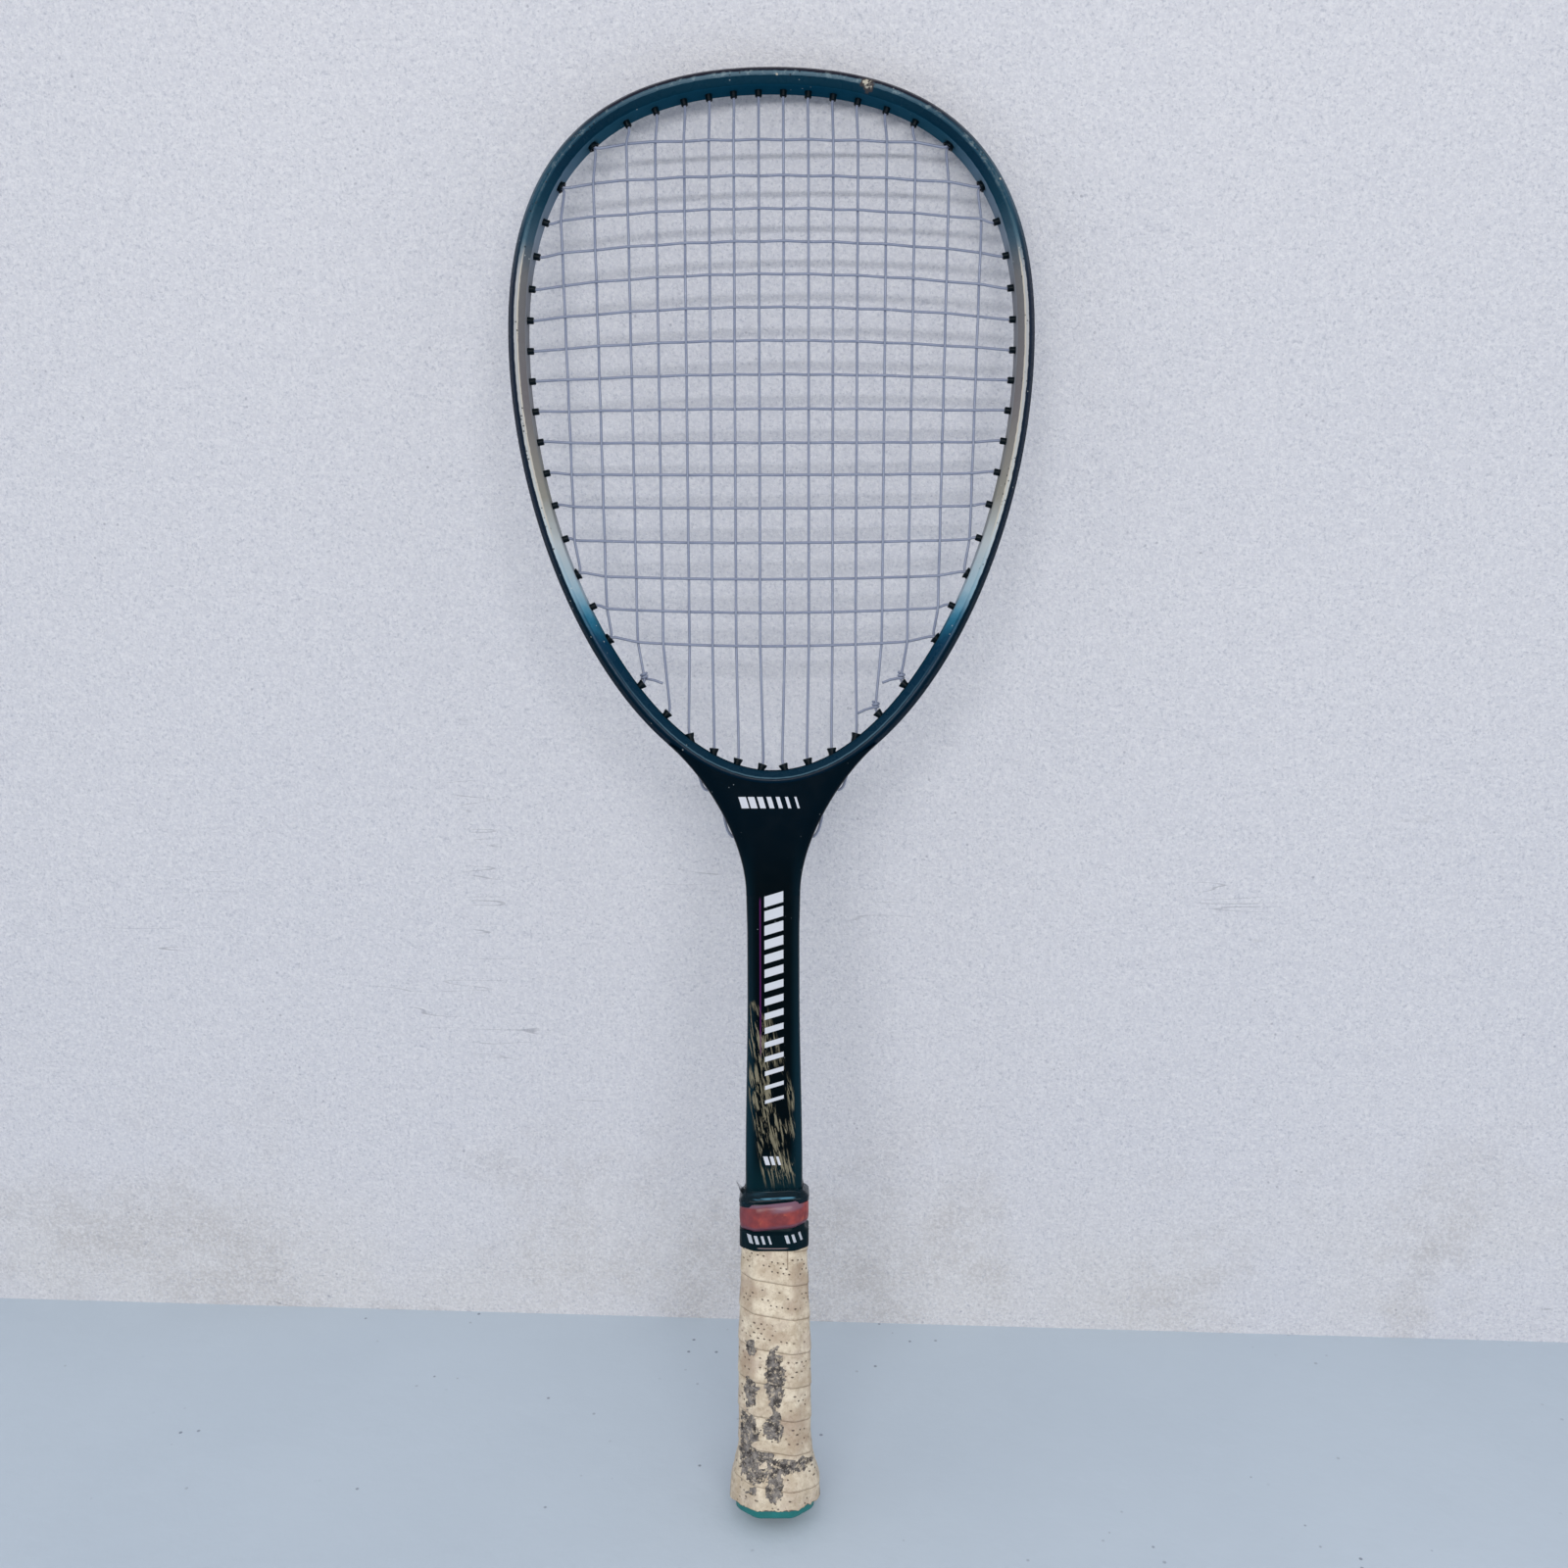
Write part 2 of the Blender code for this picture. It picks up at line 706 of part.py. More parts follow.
def main_run(main, side, downwards):
    """Points of one main from hole to hole, with the weave."""
    y = STRING_OFFSET
    points = [main_hole(main, side, True).mouth(y)]
    for row in rows_of_main(main):
        point = crossing(main, side, row)
        points.append(Vector((point.x, STRING_OFFSET * weave(main, side, row), point.y)))
    points.append(main_hole(main, side, False).mouth(y))
    return points if downwards else points[::-1]


def main_link(main, side, upper):
    """Points from one main's hole to the next main inwards, outside the frame."""
    y = STRING_OFFSET
    following = main - 1
    if upper and main == 0:
        return groove_route(place_beyond(main_hole(0, side, True)),
                            place_beyond(main_hole(0, -side, True)), y)
    if not upper and is_throat_main(main):
        return edge_route(side, main, y)
    return groove_route(place_beyond(main_hole(main, side, upper)),
                        place_beyond(main_hole(following, side, upper)), y)


def half_main_route(side):
    """The left or right half of the main string, from its tied end to the middle of the tip."""
    start = place_beyond(main_hole(OUTER_MAIN, side, True))
    tail_place = start - side * STRING_TAIL / (rim_place(1) - rim_place(0)).length
    points = groove_route(tail_place, start, STRING_OFFSET)
    downwards = True
    for main in range(OUTER_MAIN, -1, -1):
        points += main_run(main, side, downwards)
        if main > 0:
            points += main_link(main, side, not downwards)
        downwards = not downwards
    return points


def main_route():
    left = half_main_route(-1)
    right = half_main_route(1)
    return left + main_link(0, -1, True) + right[::-1]


def row_run(row, rightwards):
    y = -STRING_OFFSET
    points = [row_hole(row, -1).mouth(y)]
    columns = [(-1, main) for main in range(OUTER_MAIN, -1, -1)]
    columns += [(1, main) for main in range(MAINS_PER_SIDE)]
    for side, main in columns:
        if row in rows_of_main(main):
            point = crossing(main, side, row)
            points.append(Vector((point.x, -STRING_OFFSET * weave(main, side, row), point.y)))
    points.append(row_hole(row, 1).mouth(y))
    return points if rightwards else points[::-1]


def cross_route():
    """The cross string from its upper tied end on the left to its lower one."""
    y = -STRING_OFFSET
    side = -1
    start = place_beyond(row_hole(0, side))
    tail = STRING_TAIL / (rim_place(1) - rim_place(0)).length
    points = groove_route(start + tail, start, y)
    for row in range(len(ROW_PLACES)):
        points += row_run(row, side < 0)
        side = -side
        end = place_beyond(row_hole(row, side))
        if row + 1 < len(ROW_PLACES):
            points += groove_route(end, place_beyond(row_hole(row + 1, side)), y)
        else:
            points += groove_route(end, end + side * tail, y)
    return points


def least_self_gap(points, radius):
    """Least clear distance between stretches of a route that aren't neighbours, measured on points."""
    dense = []
    for start, end in zip(points, points[1:]):
        steps = max(1, int((end - start).length / GAP_STEP))
        dense += [start.lerp(end, i / steps) for i in range(steps)]
    travelled = [0.0]
    for start, end in zip(dense, dense[1:]):
        travelled.append(travelled[-1] + (end - start).length)
    least = 1.0
    for i, point in enumerate(dense):
        for j in range(i + 1, len(dense)):
            if travelled[j] - travelled[i] > GAP_REACH:
                gap = (dense[j] - point).length
                least = min(least, gap)
    return least - 2 * radius


# Handle section
def grow_stations():
    """Heights and how far the hard core stands out there from the plain octagon."""
    curve = [(FLARE_LOW + share * (FLARE_TOP - FLARE_LOW), part * FLARE) for share, part in FLARE_CURVE]
    return [(0.0, FLARE - FLARE_EDGE), (FLARE_EDGE, FLARE), (FLARE_LOW, FLARE), *curve, (FLARE_TOP, 0.0),
            (TAPER_START, 0.0), (TAPER_END, -HANDLE_TAPER), (HANDLE_TOP, -HANDLE_TAPER)]


def grow_at(height):
    stations = grow_stations()
    if height >= stations[-1][0]:
        return stations[-1][1]
    for (low, grow_low), (high, grow_high) in zip(stations, stations[1:]):
        if height <= high:
            share = (height - low) / (high - low)
            return grow_low + (grow_high - grow_low) * share
    return 0.0


def handle_ring(height, layer=0.0, slant=0.0):
    """Sixteen points round the eight-sided handle at a height, a layer's distance off the hard core."""
    grow = grow_at(height) + layer
    half_width = HANDLE_WIDTH / 2 + grow
    half_depth = HANDLE_DEPTH / 2 + grow
    cut = HANDLE_BEVEL + grow * (2 - sqrt(2))
    corners = [(half_width, -(half_depth - cut)), (half_width, half_depth - cut)]
    corners += [(half_width - cut, half_depth), (-(half_width - cut), half_depth)]
    corners += [(-half_width, half_depth - cut), (-half_width, -(half_depth - cut))]
    corners += [(-(half_width - cut), -half_depth), (half_width - cut, -half_depth)]
    ring = []
    for i, corner in enumerate(corners):
        here = Vector(corner)
        before = (Vector(corners[i - 1]) - here).normalized() * HANDLE_EDGE
        after = (Vector(corners[(i + 1) % 8]) - here).normalized() * HANDLE_EDGE
        for point in (here + before, here + after):
            ring.append(Vector((point.x, point.y, height + slant * point.x)))
    return ring


def handle_heights(low, high):
    inner = [height for height, _ in grow_stations() if low < height < high]
    return [low] + inner + [high]


def handle_sleeve(name, low, high, inner, outer, material, slant=0.0):
    heights = handle_heights(low, high)
    mesh = loft_mesh(name, [handle_ring(h, outer, slant) for h in heights],
                     [handle_ring(h, inner, slant) for h in heights])
    return add_object(name, mesh, PARTS, material)


# Shaft section
def shaft_ring(height, half_width, half_depth, grow=0.0):
    """Twelve points of a rectangle with rounded corners."""
    half_width += grow
    half_depth += grow
    radius = SHAFT_CORNER + grow
    ring = []
    for sx, sy, start in ((1, 1, 0), (-1, 1, pi / 2), (-1, -1, pi), (1, -1, 1.5 * pi)):
        centre = Vector((sx * (half_width - radius), sy * (half_depth - radius)))
        for step in range(3):
            angle = start + step * pi / 4
            ring.append(Vector((centre.x + radius * cos(angle), centre.y + radius * sin(angle), height)))
    return ring


def shaft_stations(low):
    """Heights and half sizes of the tube: full above the handle, necked inside it."""
    shoulder = HANDLE_TOP + CLEARANCE
    waist = THROAT_BOTTOM - CLEARANCE - WAIST_DROP
    top = THROAT_BOTTOM - CLEARANCE
    depth = SHAFT_DEPTH / 2
    return [(low, NECK_WIDTH / 2, NECK_DEPTH / 2), (shoulder, NECK_WIDTH / 2, NECK_DEPTH / 2),
            (shoulder, SHAFT_LOW_WIDTH / 2, depth), (TAPER_FOOT, SHAFT_LOW_WIDTH / 2, depth),
            (TAPER_TOP, SHAFT_WIDTH / 2, depth), (waist, SHAFT_WIDTH / 2, depth),
            (top, SHAFT_TOP_WIDTH / 2, depth)]


# Sub-parts
def make_hoop():
    hoop = add_object("head_hoop", swept_hoop_mesh("head_hoop", hoop_section()), PARTS,
                      faded_material("hoop paint", TEAL, CREAM_PAINT, 0.35, OPENING_BOTTOM + FADE_FROM_THROAT,
                                     OPENING_TOP - FADE_FROM_TIP))
    combine(hoop, drill_object("string hole drills", all_holes()), "DIFFERENCE")
    shade(hoop)
    return hoop


def make_throat():
    """The filled throat, with a tongue that fits inside the shaft tube. Each tunnel has a drill of its own."""
    tongue = (SHAFT_WIDTH / 2 - SHAFT_WALL - CLEARANCE, SHAFT_DEPTH / 2 - SHAFT_WALL - CLEARANCE)
    rings = [shaft_ring(THROAT_BOTTOM - TONGUE_LENGTH, *tongue), shaft_ring(THROAT_BOTTOM, *tongue)]
    for i in range(THROAT_STATIONS, -1, -1):
        point = bezier_point(EDGE_CORNERS, i / THROAT_STATIONS)
        rings.append(shaft_ring(point.y, point.x, throat_depth(point.y)))
    throat = add_object("throat_yoke", loft_mesh("throat_yoke", rings), PARTS,
                        plain_material("throat paint", BLACK, 0.25))
    lip = HOOP_RADIAL - OUTER_BEVEL + LIP_LAP
    opening = add_object("opening cutter", plate_mesh("opening cutter", rim_outline(lip), HOOP_DEPTH), HELPERS)
    seat_mesh = swept_hoop_mesh("hoop seat cutter", hoop_section(CLEARANCE, False))
    seat = add_object("hoop seat cutter", seat_mesh, HELPERS)
    cutters = [opening, seat]
    for side in (1, -1):
        outline = edge_strip_outline(side, -EDGE_SLOT_DEPTH, RUN_OUT, EDGE_STRIP_MARGIN + CLEARANCE)
        name = "edge slot cutter " + ("right" if side > 0 else "left")
        cutters.append(add_object(name, plate_mesh(name, outline, EDGE_SLOT_WIDTH / 2), HELPERS))
        for main in range(len(EXIT_DROPS) + 1):
            name = "tunnel drill %d %s" % (main, "right" if side > 0 else "left")
            cutters.append(drill_object(name, [main_hole(main, side, False)]))
    for cutter in cutters:
        mark_helper(cutter)
        combine(throat, cutter, "DIFFERENCE", "MANIFOLD")
    shade(throat)
    return throat


def edge_strip_outline(side, low, high, margin):
    """XZ outline that follows the throat's edge between two offsets, past the first and last exit."""
    length = (EDGE_CORNERS[0] - EDGE_CORNERS[3]).length
    start = max(EXIT_SHARES[0] - margin / length, 0.0)
    end = min(EXIT_SHARES[-1] + margin / length, 1.0)
    shares = [start + (end - start) * i / EDGE_STEPS for i in range(EDGE_STEPS + 1)]
    outline = [edge_place(share, low) for share in shares]
    outline += [edge_place(share, high) for share in reversed(shares)]
    return [(side * point.x, point.y) for point in outline]


def cylinders_object(name, spans, sides=ROUND_SIDES):
    """One helper object with a cylinder for each (start, end, radius)."""
    work = bmesh.new()
    for start, end, radius in spans:
        add_cylinder(work, start, end, radius, sides)
    return mark_helper(add_object(name, mesh_from_bmesh(name, work), HELPERS))


def all_holes():
    holes = []
    for side in (-1, 1):
        for main in range(MAINS_PER_SIDE):
            holes += [main_hole(main, side, True), main_hole(main, side, False)]
        for row, place in enumerate(ROW_PLACES):
            if place not in SHARED_PLACES:
                holes.append(row_hole(row, side))
    return holes


def drill_object(name, holes):
    """A cutter with one cylinder for each hole, a clearance wider than its grommet barrel."""
    spans = []
    for hole in holes:
        start = hole.tip() - hole.axis * RUN_OUT
        spans.append((start, hole.far_end() + hole.axis * RUN_OUT, hole.barrel + CLEARANCE))
    return cylinders_object(name, spans)


def make_grommets(name, mesh, holes, root_of, trim=None):
    """A strip with one barrel for each hole: the barrels are joined on, trimmed at its face and bored."""
    strip = add_object(name, mesh, PARTS, plain_material(name.replace("_", " "), GROMMET_BLACK, 0.45))
    barrels = [(hole.tip(), root_of(hole), hole.barrel) for hole in holes]
    bores = []
    for hole in holes:
        run_out = hole.axis * RUN_OUT
        bores.append((hole.tip() - run_out, root_of(hole) + run_out, hole.bore))
    combine(strip, cylinders_object(name + " barrels", barrels), "UNION")
    if trim:
        combine(strip, trim, "DIFFERENCE")
    combine(strip, cylinders_object(name + " bores", bores, BORE_SIDES), "DIFFERENCE")
    shade(strip)
    return strip


def groove_strip(name, holes):
    """A grommet strip in the hoop's groove, from just before its first hole to just past its last."""
    places = sorted(place_beyond(hole) for hole in holes)
    start, end = places[0] - STRIP_END, places[-1] + STRIP_END
    steps = [start] + [i for i in range(-RIM_END, RIM_END + 1) if start < i < end] + [end]
    low = [rim_place(place, STRIP_FACE - STRIP_THICKNESS) for place in steps]
    high = [rim_place(place, STRIP_FACE) for place in reversed(steps)]
    mesh = plate_mesh(name, [(point.x, point.y) for point in low + high], STRIP_WIDTH / 2)
    return make_grommets(name, mesh, holes, lambda hole: hole.root(STRIP_FACE))


def throat_strip(name, side):
    """The strip in the throat's edge, with four long barrels up to the inside of the head."""
    face = -EDGE_SLOT_DEPTH + CLEARANCE + EDGE_STRIP_THICKNESS
    outline = edge_strip_outline(side, face - EDGE_STRIP_THICKNESS, face + CLEARANCE, EDGE_STRIP_MARGIN)
    mesh = plate_mesh(name, outline, EDGE_SLOT_WIDTH / 2 - CLEARANCE)
    holes = [main_hole(main, side, False) for main in range(len(EXIT_DROPS))]
    trim = plate_mesh(name + " trim", trim_outline(side, face), EDGE_SLOT_WIDTH)
    cutter = mark_helper(add_object(name + " trim", trim, HELPERS))
    return make_grommets(name, mesh, holes, lambda hole: hole.far_end() + hole.axis * 2 * RUN_OUT, cutter)


def trim_outline(side, face):
    """XZ outline of all that lies outside a line off the throat's edge."""
    reach = SHOULDER_HALF_WIDTH + 3 * RUN_OUT
    outline = [edge_place(i / EDGE_STEPS, face) for i in range(EDGE_STEPS + 1)]
    outline += [Vector((reach, outline[-1].y)), Vector((reach, outline[0].y))]
    return [(side * point.x, point.y) for point in outline]


def make_grommet_strips():
    tops = [main_hole(main, side, True) for side in (-1, 1) for main in range(MAINS_PER_SIDE)]
    groove_strip("grommet_strip_tip", tops)
    for side, word in ((-1, "left"), (1, "right")):
        below_tip = [row for row, place in enumerate(ROW_PLACES) if place > MAIN_PLACES[OUTER_MAIN][0]]
        groove_strip("grommet_strip_" + word, [row_hole(row, side) for row in below_tip])
        lows = [main_hole(main, side, False) for main in range(len(EXIT_DROPS), SECOND_MAIN)]
        groove_strip("grommet_pair_lower_" + word, lows)
        throat_strip("grommets_throat_" + word, side)


def make_shaft():
    low = CAP_FLOOR + 2 * CLEARANCE
    stations = shaft_stations(low)
    outer = [shaft_ring(z, w, d) for z, w, d in stations]
    inner = [shaft_ring(z, w, d, -SHAFT_WALL) for z, w, d in shaft_bore_stations(low)]
    shaft = add_object("shaft_tube", loft_mesh("shaft_tube", outer, inner), PARTS,
                       plain_material("shaft paint", BLACK, 0.2))
    shade(shaft)
    core_low = low + RUN_OUT
    core_top = THROAT_BOTTOM - TONGUE_LENGTH - CLEARANCE
    bore = shaft_bore_stations(low)
    core = [(z + CLEARANCE, w, d) for z, w, d in bore if core_low < z < core_top - CLEARANCE]
    core = [(core_low, *core[0][1:])] + core + [(core_top, *core[-1][1:])]
    rings = [shaft_ring(z, w, d, -SHAFT_WALL - CLEARANCE) for z, w, d in core]
    foam = add_object("shaft_foam_core", loft_mesh("shaft_foam_core", rings), PARTS,
                      plain_material("foam", FOAM, 0.9))
    shade(foam)


def shaft_bore_stations(low):
    """The bore narrows above the outer shoulder, so that the wall is whole there."""
    stations = shaft_stations(low)
    for i in (1, 2):
        height, half_width, half_depth = stations[i]
        stations[i] = (height + SHAFT_WALL, half_width, half_depth)
    return stations


def make_pallets():
    inset = -CAP_WALL - CLEARANCE
    low = CAP_FLOOR + CLEARANCE
    rings = [handle_ring(h, inset) for h in handle_heights(low, CAP_HEIGHT)]
    rings += [handle_ring(h) for h in handle_heights(CAP_HEIGHT, HANDLE_TOP)]
    ends = (-RUN_OUT, HANDLE_TOP + RUN_OUT)
    pocket_rings = [shaft_ring(z, NECK_WIDTH / 2, NECK_DEPTH / 2, CLEARANCE) for z in ends]
    pocket_mesh = loft_mesh("tube pocket cutter", pocket_rings)
    pocket = mark_helper(add_object("tube pocket cutter", pocket_mesh, HELPERS))
    for word, side in (("front", -1), ("back", 1)):
        name = "handle_pallet_" + word
        pallet = add_object(name, loft_mesh(name, rings), PARTS, plain_material(name, WOOD_FOAM, 0.8))
        reach = 2 * HANDLE_DEPTH
        work = bmesh.new()
        bmesh.ops.create_cube(work, size=1)
        bmesh.ops.scale(work, vec=(4 * HANDLE_WIDTH, reach, 2 * HANDLE_TOP + 4 * RUN_OUT), verts=work.verts)
        bmesh.ops.translate(work, vec=(0, -side * (reach / 2 - CLEARANCE / 2), HANDLE_TOP / 2), verts=work.verts)
        half_mesh = mesh_from_bmesh(name + " half cutter", work)
        half = mark_helper(add_object(name + " half cutter", half_mesh, HELPERS))
        combine(pallet, pocket, "DIFFERENCE")
        combine(pallet, half, "DIFFERENCE")


def make_butt_cap():
    rings = [handle_ring(h) for h in handle_heights(0.0, CAP_HEIGHT - CLEARANCE)]
    cap = add_object("butt_cap", loft_mesh("butt_cap", rings), PARTS,
                     plain_material("cap plastic", CAP_GREEN, 0.35))
    heights = handle_heights(CAP_FLOOR, CAP_HEIGHT)
    pocket = [handle_ring(h, -CAP_WALL) for h in heights]
    pocket.append([point + Vector((0, 0, RUN_OUT)) for point in pocket[-1]])
    cutter = mark_helper(add_object("cap pocket cutter", loft_mesh("cap pocket cutter", pocket), HELPERS))
    combine(cap, cutter, "DIFFERENCE")
    down = Vector((0, 0, -RUN_OUT))
    seat = Vector((0, 0, BADGE_THICKNESS + CLEARANCE))
    recess = bmesh.new()
    add_cylinder(recess, down, seat, BADGE_RADIUS + CLEARANCE, DISC_SIDES)
    cutter = mark_helper(add_object("badge seat cutter", mesh_from_bmesh("badge seat cutter", recess), HELPERS))
    combine(cap, cutter, "DIFFERENCE")
    disc = bmesh.new()
    add_cylinder(disc, Vector((0, 0, 0)), Vector((0, 0, BADGE_THICKNESS)), BADGE_RADIUS, DISC_SIDES)
    add_object("butt_badge", mesh_from_bmesh("butt_badge", disc), PARTS, plain_material("badge", TEAL, 0.4))


def bridge_lift(low, high):
    """How far a straight strip between two heights has to stand off to clear the core's bulge."""
    lift = 0.0
    for height, grow in grow_stations():
        if low < height < high:
            share = (height - low) / (high - low)
            chord = grow_at(low) * (1 - share) + grow_at(high) * share
            lift = max(lift, grow - chord)
    return lift


def make_wrap():
    """The cream grip tape: one flat strip wound down the handle, its lower edge lapped over the turn below."""
    count = len(handle_ring(0.0))
    width = WRAP_LEAD - WRAP_SEAM
    rings = []
    index = 0
    while True:
        low = WRAP_TOP - MM - WRAP_LEAD * index / count
        high = low + width
        if high < WRAP_FOOT + MM:
            break
        low = max(low, WRAP_FOOT)
        high = min(high, WRAP_TOP)
        middle = (low + high) / 2
        lift_low = bridge_lift(low, middle)
        lift_high = bridge_lift(middle, high)
        backs = ((low, WRAP_BACK + WRAP_LAP_RISE + lift_low),
                 (middle, WRAP_BACK + WRAP_LAP_RISE / 2 + max(lift_low, lift_high)),
                 (high, WRAP_BACK + lift_high))
        faces = [(height, layer + WRAP_THICKNESS) for height, layer in reversed(backs)]
        rings.append([handle_ring(height, layer)[index % count] for height, layer in list(backs) + faces])
        index += 1
    turns = zip(rings, rings[count:])
    least = min((here - below).length for ring, next_ring in turns for here in ring for below in next_ring)
    print("grip wrap: %d turns, least gap between turns %.2f mm" % (index // count, least / MM))
    wrap = add_object("grip_wrap", loft_mesh("grip_wrap", rings), PARTS,
                      plain_material("grip leather", GRIP_CREAM, 0.8))
    shade(wrap)


def make_grip_layers():
    underlay_top = HANDLE_TOP - UNDERLAY_DROP
    shade(handle_sleeve("grip_underlay", UNDERLAY_FOOT, underlay_top, CLEARANCE, UNDERLAY_FACE,
                        plain_material("underlay", UNDERLAY_GREY, 0.85)))
    make_wrap()
    tape_low = WRAP_TOP - TAPE_LAP
    tape_back = WRAP_FACE + CLEARANCE
    shade(handle_sleeve("finishing_tape", tape_low, tape_low + TAPE_WIDTH, tape_back, tape_back + TAPE_THICKNESS,
                        plain_material("finishing tape", TAPE_BLACK, 0.3)))
    band_back = UNDERLAY_FACE + CLEARANCE
    slack = BAND_SLANT * (HANDLE_WIDTH / 2 + band_back + BAND_THICKNESS)
    band_low = tape_low + TAPE_WIDTH + slack + CLEARANCE
    band = handle_sleeve("rubber_band", band_low, band_low + BAND_WIDTH, band_back, band_back + BAND_THICKNESS,
                         plain_material("band rubber", BAND_RED, 0.35), BAND_SLANT)
    rounding = band.modifiers.new("soft edges", "BEVEL")
    rounding.width = BAND_EDGE
    rounding.segments = 1
    rounding.limit_method = "ANGLE"
    rounding.angle_limit = 50 * pi / 180
    shade(band)


def make_film():
    """Clear film round the foot of the shaft, with a torn flap on the left."""
    low = HANDLE_TOP + 2 * CLEARANCE
    high = low + FILM_RISE
    half = SHAFT_LOW_WIDTH / 2
    depth = SHAFT_DEPTH / 2
    outer = [shaft_ring(z, half, depth, CLEARANCE + FILM_THICKNESS) for z in (low, high)]
    inner = [shaft_ring(z, half, depth, CLEARANCE) for z in (low, high)]
    film = add_object("clear_film", loft_mesh("clear_film", outer, inner), PARTS,
                      plain_material("clear film", FILM_CLEAR, 0.15))
    root = -(half + CLEARANCE + FILM_THICKNESS / 2)
    foot = high - FLAP_LENGTH
    outline = [(root, foot), (root, foot + FILM_THICKNESS * 2), (root - FLAP_REACH, high + MM),
               (root - FLAP_REACH - FILM_THICKNESS, high)]
    flap = mark_helper(add_object("flap", plate_mesh("flap", outline, FLAP_DEPTH / 2), HELPERS))
    combine(film, flap, "UNION")
    shade(film)


def knot_route(main, side):
    """A half hitch round a main just inside its lower hole, with a tail that ends short of the next main."""
    foot = main_hole(main, side, False).mouth(STRING_OFFSET)
    next_foot = main_hole(main - 1, side, False).mouth(STRING_OFFSET)
    last_row = rows_of_main(main)[-1]
    last = crossing(main, side, last_row)
    above = Vector((last.x, STRING_OFFSET * weave(main, side, last_row), last.y))
    axis = (above - foot).normalized()
    across = Vector((-side, 0, 0))
    across = (across - axis * across.dot(axis)).normalized()
    around = axis.cross(across)
    radius = 2 * STRING_RADIUS + CLEARANCE
    tail = (abs(next_foot.x - foot.x) - TAIL_TO_NEXT_MAIN - radius) / (1 + TAIL_BEND)
    start = foot + axis * 2 * STRING_RADIUS
    points = []
    count = int(KNOT_TURNS * KNOT_STEPS)
    for i in range(count + 1):
        angle = 2 * pi * (count - i) / KNOT_STEPS
        swing = across * cos(angle) + around * sin(angle)
        points.append(start + swing * radius + axis * KNOT_RISE * (count - i) / KNOT_STEPS)
    points.append(points[-1] - around * radius * KNOT_PULL + across * tail * TAIL_BEND)
    points.append(points[-1] + across * tail - axis * tail * TAIL_BEND)
    return points


def make_strings():
    main_points = main_route()
    cross_points = cross_route()
    string_material = plain_material("main string", STRING_GREY, 0.4)
    tube_object("main_string", main_points, STRING_RADIUS, string_material)
    tube_object("cross_string", cross_points, STRING_RADIUS, plain_material("cross string", STRING_GREY, 0.4))
    print("main string: %.2f m, least gap to itself %.2f mm" % (
        route_length(main_points), least_self_gap(main_points, STRING_RADIUS) / MM))
    print("cross string: %.2f m, least gap to itself %.2f mm" % (
        route_length(cross_points), least_self_gap(cross_points, STRING_RADIUS) / MM))
    knots = ((SECOND_MAIN - 1, -1, "left"), (SECOND_MAIN - 1, 1, "right_upper"), (SECOND_MAIN - 2, 1, "right_lower"))
    for main, side, word in knots:
        tube_object("tie_off_knot_" + word, knot_route(main, side), STRING_RADIUS, string_material)


def route_length(points):
    return sum((end - start).length for start, end in zip(points, points[1:]))


clear_scene()
PARTS = new_collection("soft_tennis_racket")
HELPERS = new_collection("helpers")
make_hoop()
make_throat()
make_grommet_strips()
make_shaft()
make_pallets()
make_butt_cap()
make_grip_layers()
make_film()
make_strings()
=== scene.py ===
"""Looks of the soft tennis racket: smooth skins, grommets, woven strings and a worn grip.

Axes and origin are the model's: +Z from the butt to the tip, +X across the face, the photographed face to -Y.
Sizes are in millimetres, and a mesh turns into metres as its object is made.
A place along the rim is a number: 0 at the tip, 1 at the widest, 2 at the throat, minus on the left.
"""
from math import atan2, cos, pi, radians, sin, sqrt, tan

import bmesh
import bpy
from mathutils import Matrix, Vector, noise


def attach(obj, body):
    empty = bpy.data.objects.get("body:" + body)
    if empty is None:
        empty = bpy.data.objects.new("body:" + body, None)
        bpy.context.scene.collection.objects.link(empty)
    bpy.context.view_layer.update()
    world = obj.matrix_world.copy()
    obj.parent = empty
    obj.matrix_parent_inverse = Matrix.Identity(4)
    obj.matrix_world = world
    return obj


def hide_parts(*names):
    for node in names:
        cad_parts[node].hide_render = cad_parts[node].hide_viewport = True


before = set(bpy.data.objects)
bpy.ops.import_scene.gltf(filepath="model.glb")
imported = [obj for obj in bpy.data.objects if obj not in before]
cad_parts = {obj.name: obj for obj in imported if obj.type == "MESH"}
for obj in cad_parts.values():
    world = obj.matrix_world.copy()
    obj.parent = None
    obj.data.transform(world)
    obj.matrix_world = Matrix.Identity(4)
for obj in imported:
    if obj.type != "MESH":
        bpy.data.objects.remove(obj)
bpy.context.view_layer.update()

MM = 0.001

# Head, as in the model
OVERALL_LENGTH = 686.0
OPENING_WIDTH = 230.0
OPENING_LENGTH = 318.6
WIDEST_BELOW_TIP = 113.8
TIP_ROUNDNESS = 73.0
SHOULDER_ROUNDNESS = 82.0
FLANK_ROUNDNESS = 102.0
FOOT_ROUNDNESS = 58.5
HOOP_RADIAL = 8.2
HOOP_DEPTH = 20.0
INNER_WALL_WIDTH = 12.0
INNER_BEVEL = 3.4
OUTER_BEVEL = 2.4
OUTER_WALL_WIDTH = 11.4
GROOVE_WIDTH = 6.1
GROOVE_DEPTH = 3.0
RIM_STEPS = 88

